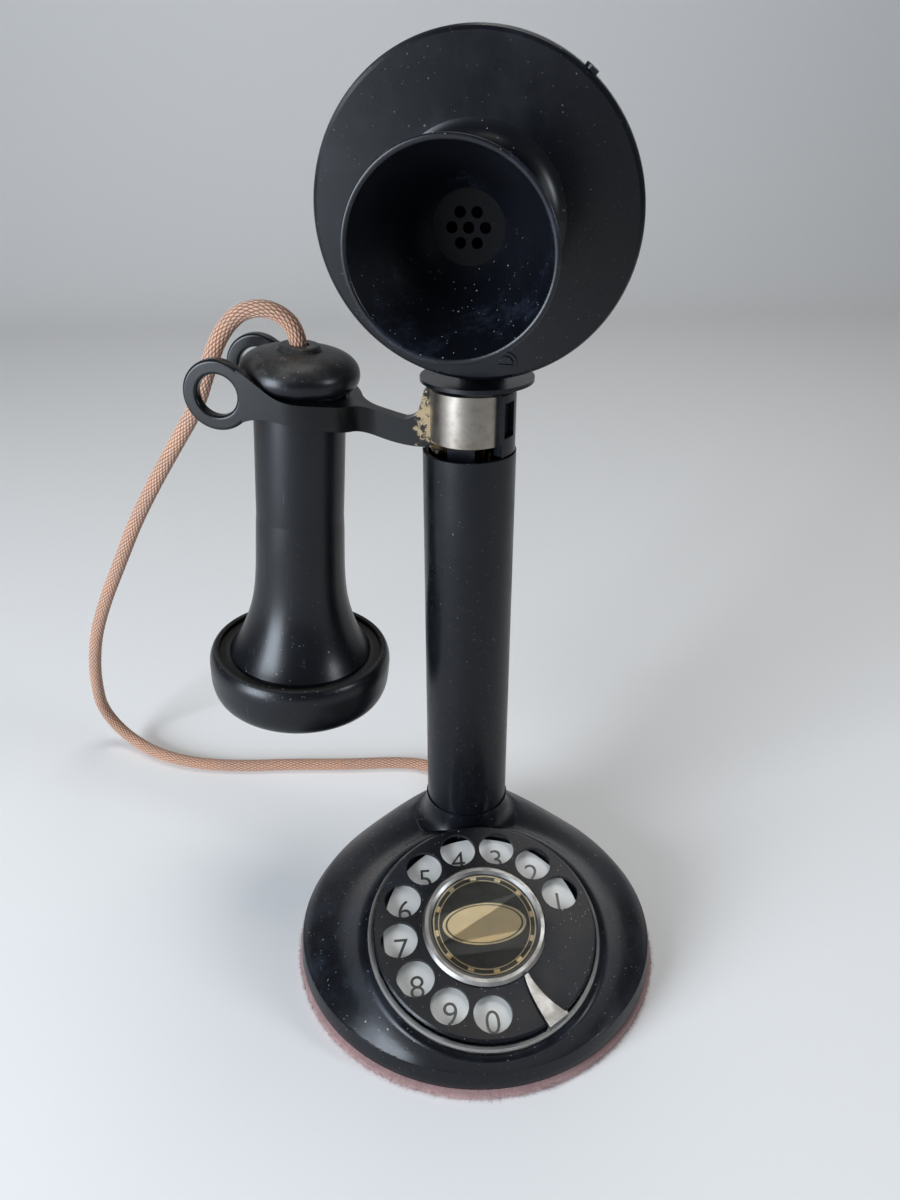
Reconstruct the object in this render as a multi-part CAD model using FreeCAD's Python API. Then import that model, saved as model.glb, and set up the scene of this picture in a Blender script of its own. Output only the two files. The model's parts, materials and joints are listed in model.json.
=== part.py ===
"""Desk-stand rotary telephone: domed base with a tilted dial, round stem, hook with a hanging
receiver, and a transmitter that tilts on the neck.  Units are millimetres, +Z is up, the origin is
the centre of the base on the table, and the dial faces -Y."""
import FreeCAD, Part
import math
import os

os.makedirs("parts", exist_ok=True)

# ---------------------------------------------------------------- driving dimensions
# Base
base_radius = 65.0
base_widest_height = 4.8
base_foot_inset = 1.5
base_edge_inset = 0.8
base_edge_height = 9.5
base_wall = 2.2
felt_overhang = 1.7
felt_height = 2.6
bell_start_height = 12.6
bell_edge_drop = 2.6
bell_edge_share = 0.16
bell_hurry = 1.2
apron_sag = 1.6
apron_full_width = 30.0
seat_blend = 6.0
base_plate_thickness = 1.4
base_plate_gap = 0.3
base_screw_inset = 11.0
base_screw_radius = 1.6
base_boss_radius = 3.8
collar_height = 48.0
collar_drop = 12.0
collar_flare = 5.3
collar_lip = 1.0
collar_seat_height = 36.0
collar_bore_gap = 0.03

# Stem
stem_back = 29.8
stem_radius = 14.83
stem_wall = 1.2
stem_top = 185.8
stem_bottom = 31.0
stem_slot_depth = 22.5
stem_slot_width = 3.0
nut_radius = 17.6

# Dial
dial_centre_y = -25.1
dial_centre_z = 34.30
dial_tilt = 17.75
wheel_radius = 38.0
wheel_thickness = 1.7
wheel_lip = 1.0
finger_hole_radius = 6.3
finger_hole_circle = 29.5
finger_hole_pitch = 360.0 / 13
first_hole_angle = 19.3
hole_count = 10
dial_seat_depth = 6.0
cup_top_depth = 4.5
cup_skirt_depth = 10.0
cup_skirt_radius = 36.2
cup_skirt_wall = 1.0
number_plate_depth = 3.6
number_plate_radius = 34.6
bezel_radius = 40.0
bezel_width = 1.7
dial_seat_rim = 42.2
dial_frame_room = 6.0
card_ring_radius = 21.3
card_ring_height = 1.9
card_ring_width = 3.1
stop_angle = -59.5
stop_leg_width = 7.6
stop_sheet = 1.0
stop_clearance = 0.5
shaft_radius = 3.0
running_clearance = 0.04
gear_module = 0.6
main_teeth = 72
pinion_teeth = 12
governor_module = 0.5
governor_gear_teeth = 48
governor_pinion_teeth = 12
gear_backlash = 0.16
main_gear_depth = 13.4
gear_width = 1.6
governor_gear_depth = 17.0
frame_top_depth = 10.0
frame_bottom_depth = 23.8
frame_plate_thickness = 1.2

# Neck and hook, turned about the stem's axis
upper_turn = -15.66
neck_radius = 12.4
neck_wall = 1.5
neck_bottom = 189.5
neck_top = 205.5
casting_radius = 14.4
casting_bottom = 186.4
flange_radius = 17.5
flange_bottom = 208.0
flange_top = 209.2
hook_pivot_x = -2.5
hook_pivot_z = 197.0
hook_pin_radius = 1.5
hook_thickness = 4.8
hook_slot_gap = 0.4
fork_centre = 54.2
fork_gap = 0.7
fork_thickness = 3.9
fork_top = 203.8
fork_height = 7.2
fork_fillet = 7.0
ring_knob_gap = 2.15
ring_height = 204.5
ring_radius = 10.9
ring_hole_radius = 6.4
ring_round = 1.0
hook_foot = 186.2
hook_head = 204.3

# Transmitter
transmitter_side = 3.1
transmitter_forward = 15.0
transmitter_height = 254.85
transmitter_tilt = 5.2
tilt_pivot_y = 6.0
tilt_pivot_z = 212.0
tilt_screw_radius = 1.2
faceplate_radius = 44.8
faceplate_thickness = 1.6
faceplate_skirt = 4.5
cup_radius = 41.5
cup_straight = 17.0
cup_depth = 32.0
cup_wall = 1.8
mouthpiece_length = 39.8
mouthpiece_radius = 26.2
mouthpiece_base_radius = 24.6
grille_radius = 9.6
grille_forward = 8.0
grille_hole_radius = 1.5
grille_hole_circle = 4.4
diaphragm_radius = 36.0
gasket_width = 3.5
bridge_back = 18.0
bridge_thickness = 2.2
bridge_post_inset = 1.8

# Receiver
receiver_lean = 4.37
receiver_height = 207.5
knob_radius = 18.95
knob_depth = 4.4
knob_collar_radius = 6.5
knob_seat_gap = 0.4
receiver_radius = 14.75
receiver_bore = 12.2
flare_radius = 25.4
flare_end = 101.5
flange_outer = 29.3
shell_end = 106.0
cap_radius = 32.6
cap_end = 123.0
earpiece_radius = 5.5
cap_thread_gap = 0.1
collar_top = 8.9
magnet_start = 15.0
magnet_bridge = 5.0
magnet_end_gap = 1.5
magnet_half_gap = 3.2
magnet_width = 8.2
magnet_half_depth = 3.5
coil_length = 7.0
coil_end_gap = 1.0
coil_wrap = 2.4
coil_side_wrap = 2.9

# Receiver cord
cord_diameter = 5.5
cord_bore_gap = 0.25
grommet_height = 9.2
grommet_radius = 4.4
grommet_flange = 1.5
cord_start = 4.5
cord_upper_route = [
    (-51.3, 44.0, 220.5), (-58.6, 44.4, 227.3), (-68.2, 46.0, 227.0), (-75.6, 47.6, 219.8),
    (-81.0, 50.5, 209.0), (-88.0, 60.4, 192.8), (-98.3, 69.2, 177.4)]
cord_lower_route = [
    (-109.9, 78.7, 159.7), (-122.0, 88.8, 139.9), (-133.6, 99.0, 117.8), (-145.1, 109.2, 96.2),
    (-155.1, 118.9, 74.0), (-161.7, 128.3, 52.0), (-165.3, 136.5, 34.0), (-166.4, 141.0, 21.0),
    (-161.4, 140.7, 9.6), (-152.5, 135.7, 3.2), (-139.0, 124.2, 2.8), (-121.0, 115.3, 2.9),
    (-99.0, 111.0, 2.8), (-74.0, 109.9, 2.9), (-48.0, 107.2, 2.8), (-24.0, 106.4, 2.9),
    (-8.7, 102.7, 2.8), (-0.5, 91.6, 3.4), (0.0, 79.0, 7.9)]

# ---------------------------------------------------------------- helpers
V = FreeCAD.Vector
X, Y, Z = V(1, 0, 0), V(0, 1, 0), V(0, 0, 1)
ORIGIN = V(0, 0, 0)
through = 4 * base_radius        # long enough for a cut to go right through
dial_place = FreeCAD.Placement(V(0, dial_centre_y, dial_centre_z), FreeCAD.Rotation(X, dial_tilt))
upper_place = FreeCAD.Placement(V(0, stem_back, 0), FreeCAD.Rotation(Z, upper_turn))
# The transmitter is drawn with +Z out of its face; its own X is the stand's right.
face_place = upper_place.multiply(FreeCAD.Placement(
    V(transmitter_side, -transmitter_forward, transmitter_height),
    FreeCAD.Rotation(X, 90 + transmitter_tilt)))
receiver_hang = FreeCAD.Placement(V(-fork_centre, 0, receiver_height), FreeCAD.Rotation(Y, receiver_lean))
receiver_place = upper_place.multiply(receiver_hang)


def place(shape, placement):
    moved = shape.copy()
    moved.transformShape(placement.toMatrix())
    return moved


def export(name, *solids):
    shape = solids[0] if len(solids) == 1 else Part.makeCompound(list(solids))
    shape.exportStep("parts/" + name + ".step")
    print(name, len(shape.Solids), round(shape.Volume, 1), shape.isValid())


def rod(radius, z0, z1, x=0.0, y=0.0):
    return Part.makeCylinder(radius, z1 - z0, V(x, y, z0), Z)


def tube(outer, inner, z0, z1, x=0.0, y=0.0):
    return rod(outer, z0, z1, x, y).cut(rod(inner, z0 - 1, z1 + 1, x, y))


def rod_between(radius, start, end):
    return Part.makeCylinder(radius, (end - start).Length, start, end - start)


def block(x0, x1, y0, y1, z0, z1):
    return Part.makeBox(x1 - x0, y1 - y0, z1 - z0, V(x0, y0, z0))


def sector(outer, inner, z0, z1, start, end):
    """Part of a tube from one angle to another, in degrees from +X."""
    ring = Part.makeCylinder(outer, z1 - z0, V(0, 0, z0), Z, end - start).cut(rod(inner, z0 - 1, z1 + 1))
    ring.rotate(ORIGIN, Z, start)
    return ring


def profile(*runs):
    """Face in the XZ plane.  A run of two (x, z) points is straight, a longer one is a curve."""
    edges = []
    for run in runs:
        points = [V(r, 0, z) for r, z in run]
        if len(points) == 2:
            edges.append(Part.makeLine(*points))
        else:
            curve = Part.BSplineCurve()
            curve.interpolate(points)
            edges.append(curve.toShape())
    return Part.Face(Part.Wire(edges))


def lathe(*runs):
    """Solid turned about Z from the runs of its (radius, z) profile."""
    return profile(*runs).revolve(ORIGIN, Z, 360)


def turned(*points):
    """Solid turned about Z from a closed outline of straight lines."""
    return lathe(*zip(points, points[1:] + points[:1]))


def fuse(first, *others):
    return first.multiFuse(list(others)).removeSplitter()


def prism(points, z0, z1):
    wire = Part.makePolygon([V(x, y, z0) for x, y in points + points[:1]])
    return Part.Face(wire).extrude(V(0, 0, z1 - z0))


def polar(radius, angle):
    return radius * math.cos(math.radians(angle)), radius * math.sin(math.radians(angle))


def screw(head_radius, head_height, radius, length, slot=0.5):
    """Cheese-head screw standing on z = 0, its shank going down."""
    head = rod(head_radius, 0, head_height)
    head = head.cut(block(-head_radius, head_radius, -slot / 2, slot / 2, head_height * 0.55, head_height + 1))
    return fuse(head, rod(radius, -length, 0))


def spur_gear(module, teeth, backlash, z0, z1, phase=0.0):
    """Involute spur gear, 20 degree pressure angle, a tooth centred on the angle `phase`."""
    pitch = module * teeth / 2
    base = pitch * math.cos(math.radians(20))
    tip = pitch + module
    root = pitch - 1.25 * module
    roll = math.tan(math.radians(20)) - math.radians(20)
    half = math.pi / (2 * teeth) - backlash / (2 * pitch) + roll
    flank = []
    for step in range(5):
        r = max(base, root) + (tip - max(base, root)) * step / 4
        a = math.acos(min(1.0, base / r))
        flank.append((r, half - (math.tan(a) - a)))
    outline = []
    for tooth in range(teeth):
        centre = math.radians(phase) + 2 * math.pi * tooth / teeth
        side = [(root, half)] + flank
        for r, a in side:
            outline.append((r * math.cos(centre - a), r * math.sin(centre - a)))
        for r, a in reversed(side):
            outline.append((r * math.cos(centre + a), r * math.sin(centre + a)))
    return prism(outline, z0, z1)


# ---------------------------------------------------------------- base
collar_foot_radius = stem_radius + collar_flare
collar_foot_height = collar_height - collar_drop


def larger(a, b, blend):
    """The larger of two heights, rounded where they cross."""
    gap = max(blend - abs(a - b), 0.0) / blend
    return max(a, b) + gap ** 3 * blend / 6


def bell_height(x, y, inset):
    """Height of the bell over a point.  Its level circles shrink from the base's edge to the collar's
    foot while their centres move back from the base's axis to the stem's, and its edge is rounded."""
    edge_radius = base_radius - base_edge_inset
    outer, inner = 0.0, 1.0
    for _ in range(30):
        share = (outer + inner) / 2
        back = stem_back * (1 - (1 - share) ** bell_hurry)
        radius = edge_radius + (collar_foot_radius - edge_radius) * share
        if math.hypot(x, y - back) + inset > radius:
            inner = share
        else:
            outer = share
    drop = bell_edge_drop * max(0.0, 1 - share / bell_edge_share) ** 3
    level = bell_start_height + (collar_foot_height - bell_start_height) * share
    return level - drop - inset * 0.6


def skinned(rings):
    """Solid with a smooth skin through closed rings of points; its two ends are flat."""
    count = len(rings[0])
    around = [i / count for i in range(count + 1)]
    rows = []
    for ring in rings:
        row = Part.BSplineCurve()
        row.interpolate(Points=ring, PeriodicFlag=True, Parameters=around)
        rows.append(row)
    along = [0.0]
    for before, after in zip(rings, rings[1:]):
        step = sum((q - p).Length for p, q in zip(before, after)) / count
        along.append(along[-1] + step)
    columns = []
    for poles in zip(*[row.getPoles() for row in rows]):
        column = Part.BSplineCurve()
        column.interpolate(Points=list(poles), Parameters=along)
        columns.append(column)
    skin = Part.BSplineSurface()
    skin.buildFromPolesMultsKnots(
        [column.getPoles() for column in columns], rows[0].getMultiplicities(), columns[0].getMultiplicities(),
        rows[0].getKnots(), columns[0].getKnots(), True, False, 3, 3)
    side = skin.toShape()
    lids = [Part.Face(Part.Wire(edge)) for edge in side.Edges if edge.isClosed()]
    shell = Part.makeShell([side] + lids)
    shell.sewShape()
    return Part.makeSolid(shell)


def base_form(inset):
    """Outer form of the base shell, or with an inset the hollow inside it: a round foot, then an apron
    that rises from its edge to the dial's tilted seat, and the bell wherever that is higher."""
    foot = felt_height - (1.0 if inset else 0.0)
    rim = base_radius - inset
    seat_radius = dial_seat_rim - inset
    seat_level = -dial_seat_depth - inset
    directions = [polar(1, a) for a in range(0, 360, 5)]
    foot_profile = [(rim - base_foot_inset, foot), (rim - 0.3 * base_foot_inset, foot + 0.8),
                    (rim, base_widest_height), (rim - 0.15, (base_widest_height + base_edge_height) / 2)]
    rings = [[V(r * x, r * y, z) for x, y in directions] for r, z in foot_profile]
    edge = rim - base_edge_inset
    for share in (0.0, 0.03, 0.07, 0.12, 0.18, 0.25, 0.33, 0.41, 0.49, 0.57, 0.65, 0.73, 0.81, 0.88, 0.94):
        ring = []
        for x, y in directions:
            low = V(edge * x, edge * y, base_edge_height - 0.5 * inset)
            high = dial_place.multVec(V(seat_radius * x, seat_radius * y, seat_level))
            point = low * (1 - share) + high * share
            width = math.hypot(high.x - low.x, high.y - low.y)
            sag = apron_sag * min(width / apron_full_width, 1.0) * math.sin(math.pi * share)
            point.z = larger(point.z - sag, bell_height(point.x, point.y, inset), seat_blend)
            ring.append(point)
        rings.append(ring)
    for margin in (1.2, 4.0, 9.0):
        r = seat_radius - margin
        rings.append([dial_place.multVec(V(r * x, r * y, seat_level)) for x, y in directions])
    return skinned(rings)


def collar():
    """Concave flare that the stem stands in, with a thin lip round its foot."""
    top, foot, lip = stem_radius + 0.5, collar_foot_height, collar_foot_height + collar_lip
    flare = lathe(
        [(top, collar_height), (top + 0.3, collar_height - 4.0), (top + 1.4, collar_height - 8.0),
         (collar_foot_radius - 0.3, lip)],
        [(collar_foot_radius - 0.3, lip), (collar_foot_radius, foot)],
        [(collar_foot_radius, foot), (collar_foot_radius, foot - 6.0)],
        [(collar_foot_radius, foot - 6.0), (0, foot - 6.0)],
        [(0, foot - 6.0), (0, collar_height)],
        [(0, collar_height), (top, collar_height)])
    return flare.translated(V(0, stem_back, 0))


base_outer = fuse(base_form(0), collar())
base_inner = base_form(base_wall)
plate_top = felt_height + base_plate_thickness
collar_boss = rod(collar_foot_radius, collar_seat_height, collar_height, 0, stem_back)
cord_boss_length = 11.0
cord_boss_radius = 6.4
cord_boss_end = base_radius + 0.6
cord_boss = Part.makeCylinder(cord_boss_radius, cord_boss_length,
                              V(0, cord_boss_end - cord_boss_length, grommet_height), Y)
cord_boss = cord_boss.common(rod(cord_boss_end + 1, plate_top, collar_height))
base_screw_circle = base_radius - base_screw_inset
screw_angles = (30, 150, 215, 325)
bosses = [rod(base_boss_radius, plate_top, collar_height, *polar(base_screw_circle, a)) for a in screw_angles]
bosses = [boss.common(base_outer) for boss in bosses]
base_shell = base_outer.cut(base_inner)
base_shell = fuse(base_shell, collar_boss.common(base_outer), cord_boss, *bosses)
base_shell = base_shell.cut(rod(stem_radius + collar_bore_gap, collar_seat_height - 1, through, 0, stem_back))
base_shell = base_shell.cut(rod(nut_radius + 0.4, 0, collar_seat_height, 0, stem_back).common(
    rod(through, stem_bottom - 11, collar_seat_height)))
dial_opening = rod(cup_skirt_radius + 0.3, -cup_skirt_depth - dial_frame_room, 0)
base_shell = base_shell.cut(place(dial_opening, dial_place))
base_shell = base_shell.cut(place(rod(bezel_radius + 0.1, -dial_seat_depth, 10), dial_place))
grommet_hole = Part.makeCylinder(grommet_radius, through, V(0, base_radius - 20, grommet_height), Y)
base_shell = base_shell.cut(grommet_hole)
for a in screw_angles:
    base_shell = base_shell.cut(rod(base_screw_radius, 0, plate_top + 8, *polar(base_screw_circle, a)))
export("base_shell", base_shell)

plate_radius = base_radius - base_foot_inset - base_wall - base_plate_gap
base_plate = rod(plate_radius, felt_height, plate_top)
base_felt = rod(base_radius + felt_overhang, 0, felt_height)
base_screws = []
base_screw_head = 3.2
for a in screw_angles:
    x, y = polar(base_screw_circle, a)
    base_plate = base_plate.cut(rod(base_screw_radius, 0, 20, x, y))
    base_felt = base_felt.cut(rod(base_screw_head + 0.2, 0.8, 20, x, y))
    fastener = screw(base_screw_head, 1.6, base_screw_radius, 8.0)
    fastener.rotate(ORIGIN, X, 180)
    base_screws.append(fastener.translated(V(x, y, felt_height)))
export("base_plate", base_plate)
export("base_felt", base_felt)
export("base_screws", *base_screws)

grommet_start = V(0, cord_boss_end - cord_boss_length, grommet_height)
grommet_bore = 2.2
grommet = fuse(
    Part.makeCylinder(grommet_radius, cord_boss_length, grommet_start, Y),
    Part.makeCylinder(grommet_radius + 1.2, grommet_flange, V(0, cord_boss_end, grommet_height), Y))
grommet = grommet.cut(Part.makeCylinder(grommet_bore, 2 * cord_boss_length, grommet_start, Y))
export("cord_grommet", grommet)

terminal_height = 9.0
terminal_block = block(-16, 16, stem_back - 5, stem_back + 9, plate_top, plate_top + terminal_height)
terminal_screws = []
for x in (-11.0, -3.7, 3.7, 11.0):
    hole = rod(1.2, plate_top + terminal_height - 6.0, plate_top + terminal_height + 1, x, stem_back + 2)
    terminal_block = terminal_block.cut(hole)
    fastener = screw(2.4, 1.4, 1.2, 5.0)
    terminal_screws.append(fastener.translated(V(x, stem_back + 2, plate_top + terminal_height)))
export("terminal_block", terminal_block)
export("terminal_screws", *terminal_screws)

# ---------------------------------------------------------------- stem
stem = tube(stem_radius, stem_radius - stem_wall, stem_bottom, stem_top)
slot = block(-stem_radius - 2, 0, -stem_slot_width / 2, stem_slot_width / 2,
             stem_top - stem_slot_depth, stem_top + 1)
stem = stem.cut(slot)
frame_foot = 142.0
neck_screw_height = frame_foot + 3.0
neck_screw_angles = (60, 120)
neck_screws = []
for a in neck_screw_angles:
    outward = V(*polar(1, a), 0)
    start = outward * (stem_radius - 6) + V(0, 0, neck_screw_height)
    stem = stem.cut(rod_between(1.5, start, start + outward * 10))
    shank = rod_between(1.5, start, start + outward * 6.3)
    neck_screws.append(fuse(shank, rod_between(2.6, start + outward * 6.3, start + outward * 7.3)))
stem_place = FreeCAD.Placement(V(0, stem_back, 0), FreeCAD.Rotation(Z, upper_turn))
export("stem_tube", place(stem, stem_place))
stem_nut = prism([polar(nut_radius, a) for a in range(0, 360, 60)], stem_bottom + 0.4, collar_seat_height)
stem_nut = stem_nut.cut(rod(stem_radius, 0, 60))
export("stem_nut", stem_nut.translated(V(0, stem_back, 0)))

# ---------------------------------------------------------------- dial
cup = fuse(rod(bezel_radius - bezel_width, -dial_seat_depth, -cup_top_depth),
           tube(cup_skirt_radius, cup_skirt_radius - cup_skirt_wall, -cup_skirt_depth, -dial_seat_depth))
cup = cup.cut(rod(9.0, -40, 0))
export("dial_cup", place(cup, dial_place))

bezel = turned((bezel_radius - bezel_width, -dial_seat_depth), (bezel_radius, -dial_seat_depth),
               (bezel_radius, -dial_seat_depth + 1.4), (bezel_radius - 0.5, -number_plate_depth + 0.3),
               (bezel_radius - 1.2, -number_plate_depth + 0.5),
               (bezel_radius - bezel_width, -number_plate_depth))
export("dial_bezel", place(bezel, dial_place))

number_plate = tube(number_plate_radius, 9.0, -cup_top_depth, -number_plate_depth)
export("number_plate", place(number_plate, dial_place))

hole_angles = [first_hole_angle + finger_hole_pitch * i for i in range(hole_count)]
wheel = turned((shaft_radius, -wheel_thickness), (wheel_radius - 1.2, -wheel_thickness),
               (wheel_radius - 1.0, -wheel_thickness - wheel_lip),
               (wheel_radius - 0.2, -wheel_thickness - wheel_lip),
               (wheel_radius, -wheel_thickness - wheel_lip + 0.4), (wheel_radius, -0.5),
               (wheel_radius - 0.5, 0.0), (shaft_radius, 0.0))
for angle in hole_angles:
    wheel = wheel.cut(rod(finger_hole_radius, -9, 9, *polar(finger_hole_circle, angle)))
export("finger_wheel", place(wheel, dial_place))

ring_inner = card_ring_radius - card_ring_width
card_ring = turned((ring_inner, 0.0), (card_ring_radius, 0.0), (card_ring_radius, 0.7),
                   (card_ring_radius - 0.9, card_ring_height), (ring_inner + 1.0, card_ring_height),
                   (ring_inner, card_ring_height - 0.6))
export("card_ring", place(card_ring, dial_place))
export("number_card", place(rod(ring_inner, 0.9, 1.2), dial_place))
export("card_window", place(rod(ring_inner, 1.2, 1.45), dial_place))
wheel_nut = prism([polar(4.6, a) for a in range(0, 360, 60)], 0.0, 0.85).cut(rod(shaft_radius, -1, 2))
export("wheel_nut", place(wheel_nut, dial_place))

shaft = fuse(rod(shaft_radius, -frame_bottom_depth - frame_plate_thickness, 0.6),
             rod(7.5, -wheel_thickness - 1.2, -wheel_thickness))
export("dial_shaft", place(shaft, dial_place))

arbor_distance = gear_module * (main_teeth + pinion_teeth) / 2
arbor = V(0, arbor_distance, 0)
governor_distance = governor_module * (governor_gear_teeth + governor_pinion_teeth) / 2
governor_angle = -54.0
governor = arbor + V(*polar(governor_distance, governor_angle), 0)

main_gear = spur_gear(gear_module, main_teeth, gear_backlash, -main_gear_depth - gear_width, -main_gear_depth,
                      90 + 180.0 / main_teeth)
main_gear = main_gear.cut(rod(shaft_radius, -40, 0))
for a in range(0, 360, 60):
    main_gear = main_gear.cut(rod(4.5, -40, 0, *polar(12.5, a)))
export("main_gear", place(main_gear, dial_place))

pinion = spur_gear(gear_module, pinion_teeth, 0.0, -main_gear_depth - gear_width - 0.4,
                   -main_gear_depth + 0.4, -90)
relation = governor_angle
governor_gear = spur_gear(governor_module, governor_gear_teeth, gear_backlash,
                          -governor_gear_depth - gear_width, -governor_gear_depth, relation)
arbor_rod = rod(1.6, -frame_bottom_depth - frame_plate_thickness, -frame_top_depth)
arbor_shape = fuse(pinion, governor_gear, arbor_rod).translated(arbor)
export("intermediate_gear", place(arbor_shape, dial_place))

cam_depth = 20.0
cam = prism([polar(5.0 if i % 2 == 0 else 3.4, i * 30) for i in range(12)], -cam_depth - 1.8, -cam_depth)
cam = cam.cut(rod(1.6, -40, 0)).translated(arbor)
export("pulse_cam", place(cam, dial_place))

governor_pinion = spur_gear(governor_module, governor_pinion_teeth, 0.0,
                            -governor_gear_depth - gear_width - 0.3, -governor_gear_depth + 0.3,
                            governor_angle + 180 + 180.0 / governor_pinion_teeth)
governor_rod = rod(1.0, -frame_bottom_depth - frame_plate_thickness, -main_gear_depth - gear_width - 0.6)
export("governor_spindle", place(fuse(governor_pinion, governor_rod).translated(governor), dial_place))
weight = tube(5.4, 3.4, -22.6, -20.4).common(block(-6, 6, 1.4, 6, -30, 0))
arm = block(-0.6, 0.6, 1.4, 3.6, -21.8, -21.2)
weights = [fuse(weight, arm), fuse(weight, arm)]
weights[1].rotate(ORIGIN, Z, 180)
hub = tube(2.0, 1.0, -22.4, -20.6)
governor_weights = fuse(hub, *weights).translated(governor)
export("governor_weights", place(governor_weights, dial_place))
drum = tube(7.4, 6.4, -frame_bottom_depth, -19.8).translated(governor)
export("governor_cup", place(drum, dial_place))

frame_top = rod(cup_skirt_radius, -frame_top_depth - frame_plate_thickness, -frame_top_depth)
post_places = [polar(26.5, 140), polar(26.5, 25), polar(26.5, -33)]
bridge_outline = [(-24, 13), (-24, 24), (-7, 32), (12, 32), (30, 17), (28, -17), (17, -19), (-8, -8)]
frame_bottom = prism(bridge_outline, -frame_bottom_depth - frame_plate_thickness, -frame_bottom_depth)
posts = [rod(1.8, -frame_bottom_depth, -frame_top_depth - frame_plate_thickness, *p) for p in post_places]
dial_frame = fuse(frame_top, frame_bottom, *posts)
dial_frame = dial_frame.cut(rod(shaft_radius + running_clearance, -60, 0))
dial_frame = dial_frame.cut(rod(1.6 + running_clearance, -60, 0, arbor.x, arbor.y))
dial_frame = dial_frame.cut(rod(1.0 + running_clearance, -60, -18, governor.x, governor.y))
export("dial_frame", place(dial_frame, dial_place))

spiral_turns = 4
spiral_outer, spiral_inner = [], []
spiral_steps = spiral_turns * 12
for i in range(spiral_steps + 1):
    r = shaft_radius + 0.5 + 4.2 * i / spiral_steps
    spiral_inner.append(polar(r, 30 * i + 180))
    spiral_outer.append(polar(r + 0.35, 30 * i + 180))
inner_curve, outer_curve = Part.BSplineCurve(), Part.BSplineCurve()
inner_curve.interpolate([V(x, y, -22.5) for x, y in spiral_inner])
outer_curve.interpolate([V(x, y, -22.5) for x, y in reversed(spiral_outer)])
inner_edge, outer_edge = inner_curve.toShape(), outer_curve.toShape()
cap_a = Part.makeLine(V(*spiral_inner[-1], -22.5), V(*spiral_outer[-1], -22.5))
cap_b = Part.makeLine(V(*spiral_outer[0], -22.5), V(*spiral_inner[0], -22.5))
spiral_face = Part.Face(Part.Wire([inner_edge, cap_a, outer_edge, cap_b]))
export("return_spring", place(spiral_face.extrude(V(0, 0, 4.0)), dial_place))

spring_y = arbor_distance + 5.6
pulse_springs = [block(-11, 7, spring_y + i * 1.5, spring_y + i * 1.5 + 0.3, -22.4, -19.4) for i in range(3)]
insulator = block(-14.5, -9.0, spring_y - 1.2, spring_y + 4.5, -frame_bottom_depth, -18.9)
for leaf in pulse_springs:
    insulator = insulator.cut(leaf)
export("pulse_springs", *[place(s, dial_place) for s in pulse_springs])
export("pulse_spring_block", place(insulator, dial_place))

# The stop's blade widens from the card ring to the wheel's rim, where it folds down to the bezel.
stop_tip = card_ring_radius + stop_clearance
stop_end = wheel_radius + 0.35 + stop_sheet
stop_places = [stop_tip + (stop_end - stop_tip) * share for share in (0.0, 0.27, 0.66, 1.0)]
left_turns, right_turns = (-0.2, -3.9, -5.4, -5.5), (3.6, 2.2, 3.1, 5.5)
stop_left = [V(*polar(r, stop_angle + a), stop_clearance) for r, a in zip(stop_places, left_turns)]
stop_right = [V(*polar(r, stop_angle + a), stop_clearance) for r, a in zip(stop_places, right_turns)]
left_curve, right_curve = Part.BSplineCurve(), Part.BSplineCurve()
left_curve.interpolate(stop_left)
right_curve.interpolate(stop_right[::-1])
stop_wire = Part.Wire([left_curve.toShape(), Part.makeLine(stop_left[-1], stop_right[-1]),
                       right_curve.toShape(), Part.makeLine(stop_right[0], stop_left[0])])
stop_blade = Part.Face(stop_wire).extrude(V(0, 0, stop_sheet))
stop_leg = block(stop_end - stop_sheet, stop_end, -stop_leg_width / 2, stop_leg_width / 2,
                 -number_plate_depth + 0.5, stop_clearance + stop_sheet)
stop_leg.rotate(ORIGIN, Z, stop_angle)
finger_stop = fuse(stop_blade, stop_leg)
export("finger_stop", place(finger_stop, dial_place))

# ---------------------------------------------------------------- neck
slot_half = hook_thickness / 2 + hook_slot_gap
hook_slot = block(-25, -7, -slot_half, slot_half, casting_bottom - 1, neck_top + 1)
neck_inner = neck_radius - neck_wall
leg_inner, leg_outer = 7.6, 9.2
casting = sector(casting_radius, neck_inner, casting_bottom, neck_top, -38, 180)
window = sector(casting_radius + 1, neck_inner + 1.6, neck_bottom + 2.5, neck_top - 2.5, -34, -12)
casting = casting.cut(window)
legs = [block(-5.5, 3.0, leg_inner, leg_outer, frame_foot, neck_top),
        block(-5.5, 3.0, -leg_outer, -leg_inner, frame_foot, neck_top)]
neck_lid = rod(neck_inner, neck_top - 1.6, neck_top)
leg_feet = rod(stem_radius - stem_wall - 0.05, frame_foot, frame_foot + 6.0).cut(
    block(-6, 8.9, -5, 5, frame_foot - 1, frame_foot + 7))
spring_seat = block(9.2, 10.8, -4.0, 4.0, frame_foot + 6.0, frame_foot + 18.0)
casting_floor = sector(casting_radius, 8.0, casting_bottom, casting_bottom + 1.2, 40, 140).cut(
    block(-20, 20, -20, leg_inner, 0, 300))
neck_frame = fuse(casting, neck_lid, leg_feet, spring_seat, casting_floor, *legs)
neck_frame = neck_frame.cut(hook_slot)
neck_frame = neck_frame.cut(block(-14, -5.6, -3, 3, neck_top - 1.7, neck_top + 1))
pivot = V(hook_pivot_x, 0, hook_pivot_z)
hook_pin = rod_between(hook_pin_radius, pivot - V(0, leg_outer, 0), pivot + V(0, leg_outer, 0))
neck_frame = neck_frame.cut(hook_pin)
for a in neck_screw_angles:
    outward = V(*polar(1, a), 0)
    start = outward * (stem_radius - 6) + V(0, 0, neck_screw_height)
    neck_frame = neck_frame.cut(rod_between(1.5, start, start + outward * 10))
spring_screw_heights = (frame_foot + 9.0, frame_foot + 14.5)
for height in spring_screw_heights:
    neck_frame = neck_frame.cut(rod_between(0.9, V(0, 0, height), V(15, 0, height)))
export("neck_frame", place(neck_frame, upper_place))
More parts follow.
